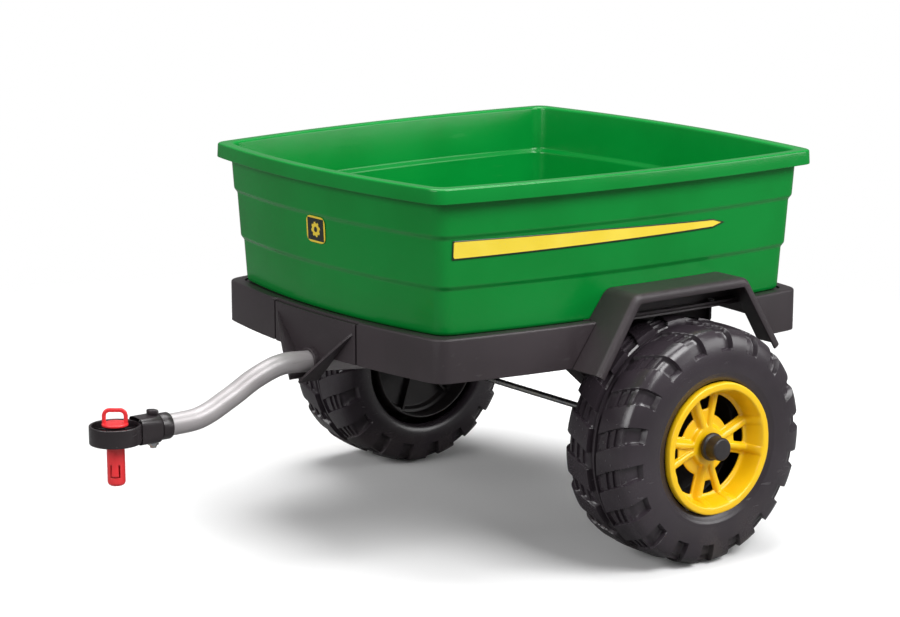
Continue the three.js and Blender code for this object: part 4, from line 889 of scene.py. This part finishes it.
cup_in = CUP_R - 3
cup_floor = CUP_LOW + 3.5
pin_tube = [PIN_R + 0.5, PIN_R + 3]
cup_profile = rounded([
    [pin_tube[0], CUP_LOW], [CUP_R, CUP_LOW], [CUP_R, CUP_TOP], [cup_in, CUP_TOP], [cup_in, cup_floor],
    [pin_tube[1], cup_floor], [pin_tube[1], CUP_TOP - 0.9], [pin_tube[0], CUP_TOP - 0.9]],
    [0.6, 1.6, 1.2, 1.0, 1.5, 1.5, 0.5, 0.5], closed=True)
cup = turned(cup_profile, (0, COUPLER_Y, 0), "z", 1, 96)
ribs = [slab(bar_at(angle, PIN_R + 2, CUP_R - 2, 1.2) + [0, COUPLER_Y], "z", CUP_LOW + 1, CUP_TOP - 6)
        for angle in (np.arange(6) + 0.5) * np.pi / 3]


def superellipse(y, half, power, columns=64):
    """|x/h|^p + |z/h|^p = 1 at each station y: radius h / (|cos a|^p + |sin a|^p)^(1/p)."""
    a = np.linspace(0, 2 * np.pi, columns, endpoint=False)
    radius = half[:, None] / (np.abs(np.cos(a)) ** power + np.abs(np.sin(a)) ** power) ** (1 / power)
    return np.stack([radius * np.cos(a), np.broadcast_to(y[:, None], radius.shape),
                     sleeve_z + radius * np.sin(a)], -1)


sleeve_rows = np.array([
    [COUPLER_Y + 26.5, SLEEVE_HALF, 5.0], [COUPLER_Y + 27, SLEEVE_HALF, 5.0], [-229, SLEEVE_HALF, 5.0],
    [-226, SLEEVE_HALF - 0.2, 3.2], [-225, SLEEVE_HALF - 1.4, 2.0], [-224, SLEEVE_HALF - 0.2, 2.0],
    [-219, SLEEVE_HALF, 2.0], [SLEEVE_END - 1.2, SLEEVE_HALF, 2.0],
    [SLEEVE_END - 0.3, SLEEVE_HALF - 0.4, 2.0], [SLEEVE_END, SLEEVE_HALF - 1.2, 2.0],
    [SLEEVE_END, TUBE + 0.8, 2.0], [SLEEVE_END - 1, TUBE + TUBE_GAP, 2.0],
    [-242.7, TUBE + TUBE_GAP, 2.0], [-242.7, 0.01, 2.0]])
sleeve = grid(superellipse(sleeve_rows[:, 0], sleeve_rows[:, 1], sleeve_rows[:, 2:]), close_columns=True)
fit(piece("coupler_cup", [cup, sleeve, *ribs]), "chassis", ["coupler"], HITCH)

SLEEVE_TOP = sleeve_z + SLEEVE_HALF
SLEEVE_LOW = sleeve_z - SLEEVE_HALF
NUT_LOW = SLEEVE_LOW - 4.3
BOLT_R = 2.5
bolt_profile = rounded([[0, NUT_LOW - 3.3], [3.6, NUT_LOW - 3.3], [4.2, NUT_LOW - 0.3],
                        [BOLT_R, NUT_LOW - 0.3], [BOLT_R, SLEEVE_TOP + 3.9], [0, SLEEVE_TOP + 3.9]], 0.5)
bolt = piece("coupler_bolt_turned", [turned(bolt_profile, (0, BOLT_Y, 0), "z", 1, 32, close=False)])
fit(bolt, "chassis", ["coupler_bolt"], ZINC)
hexagon = 6.5 * np.stack([np.cos(np.arange(6) * np.pi / 3), np.sin(np.arange(6) * np.pi / 3)], -1)
nut = slab(hexagon + [0, BOLT_Y], "z", NUT_LOW, SLEEVE_LOW - 0.3)
fit(piece("coupler_nut_hex", [nut], bevel=0.5), "chassis", ["coupler_nut"], ZINC)


def winged_knob():
    """A hub r = 5 + 2.6 c^6, where c is |cos| of the angle, so that two wings grow out of a round hub."""
    a = np.linspace(0, 2 * np.pi, 72, endpoint=False)
    wing = 2.6 * np.abs(np.cos(a - 0.5)) ** 6
    z = SLEEVE_TOP + np.array([0.5, 0.5, 1.0, 4.6, 5.6, 6.0, 6.0])
    scale = np.array([0.0, 0.92, 1.0, 1.0, 0.92, 0.7, 0.0])
    radius = scale[:, None] * (5 + wing)
    return grid(np.stack([radius * np.cos(a), BOLT_Y + radius * np.sin(a), z[:, None] + 0 * radius], -1),
                close_columns=True)


fit(piece("top_knob", [winged_knob()], sharp=45), "knob", ["wing_knob"], HITCH)

# %% [markdown]
# The red pin is a hollow peg under a round plate, with a flat loop handle. A snap tab near its foot keeps it
# in: a U-shaped cut in the peg's wall frees a tongue, which stands out a little. I leave out the quads of the
# peg's skin that lie in the U and give the skin a wall, so that the cut is a real opening.

# %% The hitch pin
PIN_LOW = 127.0
PLATE_Z = 194.0
HANDLE_TOP = 214.0
PIN_TURN = math.radians(53)
PIN_EDGE = 2.5
TAB_LOW = 135.0
TAB_SLIT = 1.4
TAB_HIGH = 150.0
TAB_HALF = 0.42
SLIT_END = 0.62
PLATE_R = 15
PLATE = 2.8
HANDLE_HALF = 12.3
BAR = 2.25


def turned_about_pin(points):
    """Rotate about the pin's own axis by its turn, then move to the coupler."""
    c, s = math.cos(PIN_TURN), math.sin(PIN_TURN)
    x, y = points[..., 0] * c - points[..., 1] * s, points[..., 0] * s + points[..., 1] * c
    return np.stack([x, y + COUPLER_Y, points[..., 2]], -1)


a = np.linspace(0, 2 * np.pi, 96, endpoint=False)
main_z = np.linspace(PIN_LOW + PIN_EDGE, PLATE_Z, 40)
main_z = np.unique(np.concatenate([main_z, [TAB_LOW, TAB_LOW + TAB_SLIT, TAB_HIGH]]))
foot = np.linspace(0, np.pi / 2, 5)[:-1]
z = np.concatenate([PIN_LOW + PIN_EDGE * (1 - np.cos(foot)), main_z])[:, None]
radius = np.concatenate([PIN_R - PIN_EDGE + PIN_EDGE * np.sin(foot), np.full(main_z.shape, PIN_R)])[:, None]


def from_tab(angle):
    """Angle between a direction and the middle of the tab, which faces forwards before the pin is turned."""
    return np.abs((angle + np.pi / 2 + np.pi) % (2 * np.pi) - np.pi)


on_tab = (from_tab(a) < 0.45) & (z > TAB_LOW + 1) & (z < TAB_HIGH - 4)
radius = radius + np.where(on_tab, 0.9 * np.clip((TAB_HIGH - 4 - z) / 6, 0, 1), 0)
peg = np.stack([radius * np.cos(a), radius * np.sin(a), np.broadcast_to(z, radius.shape)], -1)
off = from_tab(a + np.pi / len(a))
middle_z = 0.5 * (z[1:] + z[:-1])
u_cut = (off > TAB_HALF) & (off < SLIT_END) & (middle_z > TAB_LOW) & (middle_z < TAB_HIGH)
u_cut |= (off < 0.5) & (middle_z > TAB_LOW - 0.1) & (middle_z < TAB_LOW + TAB_SLIT)
skin = grid(turned_about_pin(peg), close_columns=True, keep=~u_cut)
peg_piece = piece("pin_peg", [skin], solidify=2.2, outward=False, sharp=40)

plate_profile = rounded([[0, PLATE_Z], [PLATE_R, PLATE_Z], [PLATE_R, PLATE_Z + PLATE], [0, PLATE_Z + PLATE]],
                        [0.1, 0.7, 1.3, 0.1])
plate = turned(plate_profile, (0, COUPLER_Y, 0), "z", 1, 64, close=False)
corners = [[-HANDLE_HALF, PLATE_Z + 1.5], [-HANDLE_HALF, HANDLE_TOP - 2.3], [HANDLE_HALF, HANDLE_TOP - 2.3],
           [HANDLE_HALF, PLATE_Z + 1.5]]
path = rounded(corners, [1, 8, 8, 1], steps=14)[13:-13]
b = np.linspace(0, 2 * np.pi, 24, endpoint=False)
shape = BAR / (np.abs(np.cos(b)) ** 3.5 + np.abs(np.sin(b)) ** 3.5) ** (1 / 3.5)
xz = path[:, None] + normals(path)[:, None] * (shape * np.cos(b))[None, :, None]
depth = np.broadcast_to(shape * np.sin(b), xz.shape[:2])
handle = grid(turned_about_pin(np.stack([xz[..., 0], depth, xz[..., 1]], -1)), close_columns=True, caps=True)
loop = piece("pin_plate_and_handle", [plate, handle], sharp=45)
fit(peg_piece, "pin", ["hitch_pin"], RED)
fit(loop, "pin", [], RED)

# %% [markdown]
# The tyres are blow-moulded plastic with a deep tread. Each half of the tread has eighteen broad lugs that
# lean back from the middle, the halves are half a step apart, and a thin ridge runs round the middle between
# them. Three low ties cross each gap. I treat the tread as a depth map on a turned surface: the outer profile
# is the lug tops, and the gaps sink into it along its normal. The trick is in the grid. Its columns lean as
# the lugs do, and they crowd at the lugs' edges, so that every step in depth falls exactly between two
# columns or two rows and stays crisp.

# %% The tyres
WHEEL_X = 282.0
LUGS = 18
PITCH = 20.0
# Angles in degrees within one pitch where the gap runs, and its depth in millimetres.
GAP_FROM = 1.3
GAP_TO = 9.7
GAP_DEPTH = 7.0
LEAN = 10.2
LEAN_REACH = 74.0
TIES = (20.0, 31.0, 42.0)
TIE_HALF = 2.5


def on_wheel(side, w, r, angle):
    """Wheel coordinates to the drawing: x = side (X + w), y = Y - r cos a, z = Z + r sin a."""
    w, r, angle = np.broadcast_arrays(w, r, angle)
    return np.stack([side * (WHEEL_X + w), AXLE_Y - r * np.cos(angle), AXLE_Z + r * np.sin(angle)], -1)


def resample(curve, extra):
    """Points of a curve at even steps, joined by rows at the wanted distances w, all in order along it."""
    length = np.concatenate([[0], np.cumsum(np.linalg.norm(np.diff(curve, axis=0), axis=1))])
    at = np.interp(extra, curve[:, 0], length)
    turn = at.max()
    stops = np.unique(np.concatenate([at, np.arange(turn + 1.5, length[-1], 1.7), length[-1:]]))
    return np.stack([np.interp(stops, length, curve[:, 0]), np.interp(stops, length, curve[:, 1])], -1)


def step(value, edge, width):
    """0 before the edge and 1 after it, eased over the width."""
    t = np.clip((value - edge) / width + 0.5, 0, 1)
    return t * t * (3 - 2 * t)


tread_line = [[0, 142.3], [12, 142.2], [24, 141.9], [34, 141.2], [43, 140.0], [49.5, 137.6], [54.3, 132.5],
              [57.6, 124.5], [59.6, 114.5], [60.4, 104]]
outboard = through(tread_line + [[60, 95], [58.6, 88], [57, 83], [55.6, 80.2]], 24)
inboard = through(tread_line + [[59.6, 96], [57, 91], [52, 88.5]], 24)
lining = through([[53, 79.8], [52.5, 86], [55, 102], [51, 118], [38, 129], [12, 131.5], [-12, 131.5],
                  [-38, 129], [-51, 118], [-55, 102], [-54, 93], [-50, 88.6]], 6)
tie_edges = [tie + edge for tie in TIES for edge in (-2.8, -2.2, 0, 2.2, 2.8)]
edges = [0, 1.3, 2.0, 4.5, 7.2, 8.6, 12.5, *tie_edges, 25.5, 36.5, 47, 49.5]
rows_out = resample(outboard, edges)
rows_in = resample(inboard, edges)[1:][::-1] * [-1, 1]
rows = np.concatenate([rows_in, rows_out])
row_normal = normals(rows)
w, r = rows[:, :1], rows[:, 1:]

steps = np.array([0.0, 1.02, 1.18, 1.45, 1.62, 3.5, 5.5, 7.5, 9.38, 9.55, 9.82, 9.98, 10.5, 11.02, 11.18,
                  11.45, 11.62, 13.5, 15.5, 17.5, 19.38, 19.55, 19.82, 19.98])
phase = (np.arange(LUGS)[:, None] * PITCH + steps).ravel()[None, :]
away = np.abs(w)
reach = np.concatenate([[0], np.cumsum(np.linalg.norm(np.diff(rows, axis=0), axis=1))])
reach = np.abs(reach - np.interp(0.0, rows[:, 0], reach))[:, None]
lean = LEAN * (1 - (1 - np.minimum(reach, LEAN_REACH) / LEAN_REACH) ** 1.6)
inner_half = w < 0
local = np.mod(phase - np.where(inner_half, PITCH / 2, 0.0), PITCH)
gap = step(local, GAP_FROM, 0.42) * (1 - step(local, GAP_TO, 0.42))
shoulder = step(r, 117.0, 3.0)
start = step(away, 7.9, 1.3)
tie = sum(step(away, c - TIE_HALF, 0.62) * (1 - step(away, c + TIE_HALF, 0.62)) for c in TIES)
gap_depth = GAP_DEPTH - 2.2 * (1 - step(away, 46.0, 5.0)) - 2.4 * tie
ridge = 1 - step(away, 1.65, 0.8)
depth = np.maximum((1 - start) * GAP_DEPTH, gap * shoulder * gap_depth) - 3.4 * ridge
tread_w = w - row_normal[:, :1] * depth
tread_r = r - row_normal[:, 1:] * depth
sidewall_ring = 0.7 * np.exp(-(((r - 90.5) / 1.2) ** 2)) * (w > 0)
tread_w = tread_w + sidewall_ring
for word, side in SIDES:
    angle = np.radians(phase + lean)
    outer = on_wheel(side, tread_w, tread_r, angle)
    last = np.broadcast_to(angle[-1], (len(lining), angle.shape[1]))
    first = np.broadcast_to(angle[0], last.shape)
    share = np.linspace(0, 1, len(lining))[:, None]
    inner = on_wheel(side, lining[:, :1], lining[:, 1:], last * (1 - share) + first * share)
    skin = grid(np.concatenate([outer, inner]), close_rows=True, close_columns=True)
    fit(piece(f"tyre_{word}", [skin], sharp=48), f"wheel_{word}", [f"wheel_tyre_{word}"], TREAD)

# %% [markdown]
# The yellow wheel is a deep dish. Four pairs of raised spokes run from the hub to the rim, each pair with a
# small window between its two bars, and a large window lies between one pair and the next. Again the grid
# does the drawing: each row has a place on the floor, on a bar and inside a pair, each column says which of
# the three it follows, and the columns bend so that they run along the bars' edges. The quads of the windows
# are left out, a modifier gives the sheet its wall, and subdivision softens it as moulding does.

# %% The yellow wheels
SPOKE_TURN = math.radians(-4.0 - 90.0)
floor_row = np.array([
    [8, 43.5], [17, 43.5], [21.5, 43.4], [23, 42.2], [24.5, 37.4], [30, 37], [37, 37], [39, 37], [44, 37],
    [46, 37], [55, 37], [57, 37], [58.5, 37], [60.5, 37.2], [64.3, 37.6], [65.6, 39.5], [66.6, 46],
    [68.2, 55], [69.6, 61], [70.6, 62.9], [72.4, 63.3], [76.8, 63.3], [78.4, 62.8], [79, 61], [79, 53]])
bar_row = floor_row.copy()
bar_row[3:16] = [[23, 43.6], [24.5, 44], [30, 44], [37, 44], [39, 44], [44, 44], [46, 44], [55, 44], [57, 44],
                 [58.5, 44], [60.0, 44.1], [61.4, 44.6], [62.2, 46.5]]
bar_row[16:19] = [[64.0, 52], [66.3, 57.5], [68.6, 61.6]]
pair_row = floor_row.copy()
pair_row[3:16] = [[23, 43.0], [24.5, 41], [30, 40], [37, 40], [39, 40], [44, 40], [46, 40], [55, 40],
                  [57, 40], [58.5, 40], [60.4, 40.3], [62.0, 41.5], [63.0, 44]]
pair_row[16:19] = [[64.8, 51], [66.9, 57.0], [68.9, 61.4]]
variants = np.stack([pair_row, bar_row, floor_row])


def column_angles(r):
    """Angles of the columns from a pair's middle: window, bar foot, two bar tops, bar foot, then to 45."""
    r = np.maximum(r, 23.0)
    small = np.maximum(0.3 * r - 8.0, 0.6)
    wide = 4.4 + 0.31 * r
    stops = np.stack([0 * r, small, small + 0.7, small + 1.7, wide - 4.0, wide - 1.6, wide], -1) / r[:, None]
    rest = stops[:, -1:] + (np.pi / 4 - stops[:, -1:]) * np.array([0.08, 0.36, 0.68, 1.0])
    return np.concatenate([stops, rest], -1)


which = np.array([0, 0, 0, 1, 1, 2, 2, 2, 2, 2, 2])
half_angle = column_angles(floor_row[:, 0])
quarter = np.concatenate([-half_angle[:, -2:0:-1], half_angle], 1)
quarter_which = np.concatenate([which[-2:0:-1], which])
angles = np.concatenate([quarter + k * np.pi / 2 for k in range(4)], 1)
kind = np.tile(quarter_which, 4)
surface = variants[kind].transpose(1, 0, 2)
count = quarter.shape[1]
place = np.arange(angles.shape[1]) % count
middle_row = 0.5 * (floor_row[1:, 0] + floor_row[:-1, 0])[:, None]
large = (place < 3) | (place >= count - 4)
small = (place == 9) | (place == 8)
windows = large[None, :] & (middle_row > 37.5) & (middle_row < 61)
windows |= small[None, :] & (middle_row > 42) & (middle_row < 59)
for word, side in SIDES:
    points = on_wheel(side, surface[..., 1], surface[..., 0], angles + SPOKE_TURN)
    made = piece(f"dish_{word}", [grid(points, close_columns=True, keep=~windows)], solidify=3.4, subdivide=2,
                 outward=False, flip=side > 0)
    fit(made, f"wheel_{word}", [f"wheel_rim_{word}"], YELLOW)

# %% [markdown]
# Behind the dish sits the black half of the wheel: a drum with ribs and a long hub, seen through the windows
# and from the inner side. The hub cap closes the outer end. All are turned profiles with ribs added.

# %% Wheel cores, caps and the axle
BLACK = moulded("wheel black", (0.020, 0.017, 0.018), (0.026, 0.022, 0.024), 0.40, grain=1500,
                grain_depth=1.0, peel=0.3, scuffs=0.3, scuff_tone=0.06, dust=0.12, dust_top=0.12)
AXLE_R = 4
AXLE_HALF = 342
core_profile = rounded([
    [79, -57.5], [79, -0.4], [76.4, -0.4], [76.4, -24], [11.8, -24], [11.8, 26.5], [7.9, 26.5], [7.9, -53],
    [11.8, -53], [14.8, -27], [69, -27], [72, -33], [76.4, -35], [76.4, -57.5]], 1.2, closed=True)
cap_profile = rounded([
    [4.3, 47.6], [16.5, 47.6], [16.5, 51.6], [13.6, 53.2], [13.5, 66.5], [12.0, 68.0], [0, 68.0], [0, 60.4],
    [4.3, 60.4]], [0.2, 0.6, 1.2, 0.8, 1.2, 1.0, 0.1, 0.1, 0.2], closed=True)
for word, side in SIDES:
    centre = (side * WHEEL_X, AXLE_Y, AXLE_Z)
    low, high = sorted((side * (WHEEL_X - 35), side * (WHEEL_X - 26)))
    parts = [turned(core_profile, centre, "x", side, 96)]
    parts += [slab(bar_at(k * np.pi / 3 + 0.2, 11, 74, 1.5) + [AXLE_Y, AXLE_Z], "x", low, high)
              for k in range(6)]
    fit(piece(f"drum_{word}", parts, sharp=40), f"wheel_{word}", [f"wheel_core_{word}"], BLACK)
    cap = piece(f"hub_cap_{word}", [turned(cap_profile, centre, "x", side, 64)], sharp=50)
    fit(cap, "chassis", [f"wheel_cap_{word}"], BLACK)

rod = rounded([[0, -AXLE_HALF], [AXLE_R, -AXLE_HALF], [AXLE_R, AXLE_HALF], [0, AXLE_HALF]],
              [0.1, 0.8, 0.8, 0.1])
axle = piece("axle_bar", [turned(rod, (0, AXLE_Y, AXLE_Z), "x", 1, 32, close=False)])
fit(axle, "chassis", ["axle_rod"], ZINC)
kept = {"tongue_clamp": CHARCOAL}
for word, side in SIDES:
    kept |= {f"wheel_bush_{end}_{word}": NYLON for end in ("outer", "inner")}
    kept[f"wheel_washer_{word}"] = ZINC
for node, material in kept.items():
    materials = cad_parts[node].data.materials
    materials.clear()
    materials.append(material)
print("kept from the packed model: bushes, washers and the drawbar clamp")

# %% [markdown]
# The stickers are thin printed vinyl. Each is a small grid laid on the tub's wall, half a millimetre proud.
# Its print follows the sticker, so I store two numbers at every point, the distance across and along in
# millimetres, as an attribute, and the shader draws borders and shapes from them.


# %% Printed stickers
def sticker_sheet(name, points, across, along, material, node):
    """A sheet on the wall with a float attribute pair, given a 0.35 mm wall that keeps the attribute."""
    obj = piece(name, [grid(points)], outward=False, sharp=180)
    values = np.stack([across.ravel(), along.ravel(), np.zeros(across.size)], -1)
    layer = obj.data.attributes.new("print", "FLOAT_VECTOR", "POINT")
    layer.data.foreach_set("vector", values.ravel())
    wall = obj.modifiers.new("film", "SOLIDIFY")
    wall.thickness = 0.00035
    wall.offset = -1
    return fit(obj, "chassis", [node], material)


def stripe_ink(tree, u, v, cloud):
    """Two close yellows inside a dark border, where u is the distance in from the stripe's edge."""
    yellow = mixed(tree, cloud.ramp(0.3, 0.7), (0.88, 0.66, 0.045), (0.93, 0.72, 0.07))
    return mixed(tree, 1 - u.ramp(1.3, 1.6), yellow, (0.018, 0.030, 0.018))


def badge_ink(tree, u, v, cloud):
    """A yellow frame and a ring with eight soft teeth on black, where (u, v) counts from the middle."""
    far = (u * u + v * v) ** 0.5
    turn = paint_node(tree, "ShaderNodeMath", {"operation": "ARCTAN2"}, {0: v, 1: u})
    teeth = paint_node(tree, "ShaderNodeMath", {"operation": "SINE"}, {0: turn * 8.0})
    rim = far + teeth.ramp(-0.25, 0.25) * -1.5
    cog = (1 - rim.ramp(7.4, 7.7)) * far.ramp(3.2, 3.5)
    sides = {0: abs(u).ramp(16.2, 16.5), 1: abs(v).ramp(13.2, 13.5)}
    border = paint_node(tree, "ShaderNodeMath", {"operation": "MAXIMUM"}, sides)
    mark = paint_node(tree, "ShaderNodeMath", {"operation": "MAXIMUM"}, {0: border, 1: cog})
    return mixed(tree, mark, (0.018, 0.022, 0.018), (0.90, 0.66, 0.05))


def printed(name, draw):
    """Vinyl whose colour is drawn from the print attribute's two numbers, then worn in flecks."""
    material, tree, shader, place = blank(name)
    vector = paint_node(tree, "ShaderNodeAttribute", {"attribute_name": "print"}, output=1)
    u, v = (paint_node(tree, "ShaderNodeSeparateXYZ", inputs={"Vector": vector}, output=k) for k in (0, 1))
    fleck = noise(tree, place, 500, 2)
    worn = fleck.ramp(0.66, 0.74) * 0.25
    colour = mixed(tree, worn, draw(tree, u, v, noise(tree, place, 20, 2)), (0.5, 0.48, 0.40))
    link_surface(tree, shader, colour, 0.30 + (fleck - 0.5) * 0.12 + worn * 0.3, fleck, 0.15, 0.0003)
    return material


STRIPE_INK = printed("stripe vinyl", stripe_ink)
BADGE_INK = printed("badge vinyl", badge_ink)
STRIPE_FROM = 31.0
STRIPE_TO = 408.5
STRIPE_TIP = 390.0
STRIPE_PROUD = 0.75
y = np.concatenate([np.linspace(STRIPE_FROM, STRIPE_TIP, 120), np.linspace(STRIPE_TIP, STRIPE_TO, 14)[1:]])
y = y[:, None]
v = np.linspace(0, 1, 17)[None, :]
stations = [STRIPE_FROM, 215, STRIPE_TIP, STRIPE_TO]
low_edge = np.interp(y, stations, [378.7, 380.7, 382.2, 387.3])
high_edge = np.interp(y, stations, [400.8, 398.3, 392.8, 387.5])
z = low_edge + (high_edge - low_edge) * v
y = np.broadcast_to(y, z.shape)
inward = np.minimum((z - low_edge) * 0.8, high_edge - z)
inward = np.minimum(inward, np.minimum(y - STRIPE_FROM, STRIPE_TO - y))
for word, side in SIDES:
    points = np.stack([side * (half_width(y, tub_inset(z)) + STRIPE_PROUD), y, z], -1)
    way = -side
    sticker_sheet(f"stripe_{word}", points[:, ::way], inward[:, ::way], y, STRIPE_INK, f"side_stripe_{word}")

BADGE_Z = 387.0
BADGE_HALF_X = 19.0
BADGE_HALF_Z = 15.8
u = np.linspace(1, -1, 41)[:, None]
v = np.linspace(-1, 1, 33)[None, :]
x = BADGE_HALF_X * u * (1 - 0.16 * np.clip((np.abs(v) - 0.6) / 0.4, 0, 1) ** 2)
z = BADGE_Z + BADGE_HALF_Z * v * (1 - 0.12 * np.clip((np.abs(u) - 0.6) / 0.4, 0, 1) ** 2)
points = np.stack([x, front_face(x, tub_inset(z)) - 0.8, z], -1)
sticker_sheet("front_emblem", points, x, z - BADGE_Z, BADGE_INK, "front_badge")

# %% [markdown]
# The picture's stage is a plain pale floor that fades out with distance, so that no horizon shows. Four large
# soft lights make the long highlights of glossy plastic: a key high on the left wheel's side, one in front,
# one overhead and a weak one behind the left wheel. The world is white to the camera and dim as light. The
# camera stands a little under a metre up and looks down a little at the front left corner.

# %% Stage, lights and camera
x = np.linspace(-9, 9, 3)[:, None]
y = np.concatenate([[-9.0], np.linspace(-4, 7, 12)])[None, :]
floor_points, floor_faces = grid(np.stack(np.broadcast_arrays(x, y, 0.0), -1))
floor_mesh = bpy.data.meshes.new("studio_floor")
floor_mesh.from_pydata(floor_points.tolist(), [], floor_faces)
floor = bpy.data.objects.new("studio_floor", floor_mesh)
bpy.context.scene.collection.objects.link(floor)
paper, tree, shader, place = blank("paper floor")
seen = paint_node(tree, "ShaderNodeLightPath", output=0)
tone = mixed(tree, seen, (0.20, 0.20, 0.20), (0.93, 0.93, 0.93))
across = paint_node(tree, "ShaderNodeSeparateXYZ", inputs={"Vector": place}, output=0)
along = paint_node(tree, "ShaderNodeSeparateXYZ", inputs={"Vector": place}, output=1)
fade = 1 - ((across * across + along * along) ** 0.5).ramp(0.75, 1.7)
tree.links.new(fade.socket, shader.inputs["Alpha"])
tree.links.new(tone.socket, shader.inputs["Base Color"])
shader.inputs["Roughness"].default_value = 0.9
floor.data.materials.append(paper)


def softbox(name, place, target, size, power):
    """A white area light at a place, turned to face its target."""
    data = bpy.data.lights.new(name, "AREA")
    data.shape = "RECTANGLE"
    data.size, data.size_y = size
    data.energy = power
    lamp = bpy.data.objects.new(name, data)
    bpy.context.scene.collection.objects.link(lamp)
    lamp.location = place
    aim = np.array(target) - np.array(place)
    lamp.rotation_euler = Vector(aim).to_track_quat("-Z", "Y").to_euler()


softbox("key", (2.3, 0.5, 2.3), (0, 0, 0.3), (1.8, 1.4), 84)
softbox("front", (0.2, -2.9, 1.7), (0, 0, 0.3), (2.2, 1.4), 52)
softbox("top", (-0.4, 0.4, 2.8), (0, 0.1, 0.3), (2.0, 2.0), 84)
softbox("rear side", (2.3, 2.3, 1.1), (0, 0.1, 0.25), (1.6, 1.3), 26)
ROOM_LIGHT = 0.22
world = bpy.data.worlds.new("studio")
world.use_nodes = True
seen = paint_node(world.node_tree, "ShaderNodeLightPath", output=0)
backdrop = world.node_tree.nodes["Background"]
world.node_tree.links.new((ROOM_LIGHT + seen * (1.0 - ROOM_LIGHT)).socket, backdrop.inputs["Strength"])
backdrop.inputs["Color"].default_value = (1, 1, 1, 1)
bpy.context.scene.world = world
bpy.context.scene.view_settings.view_transform = "Standard"

CAMERA_TILT = 12.04
CAMERA_HEADING = 52.91
camera_data = bpy.data.cameras.new("camera")
camera_data.lens = 101.2
camera_data.sensor_width = 36.0
camera = bpy.data.objects.new("camera", camera_data)
bpy.context.scene.collection.objects.link(camera)
camera.location = (2.415, -1.7645, 0.913)
camera.rotation_euler = (math.radians(90 - CAMERA_TILT), 0.0, math.radians(CAMERA_HEADING))
bpy.context.scene.camera = camera
print("camera at", [round(v, 3) for v in camera.location])

# %% [markdown]
# The last cell brings the scene's placements up to date. The smooth model must not outgrow the imported one.

# %% Update the scene
bpy.context.view_layer.update()
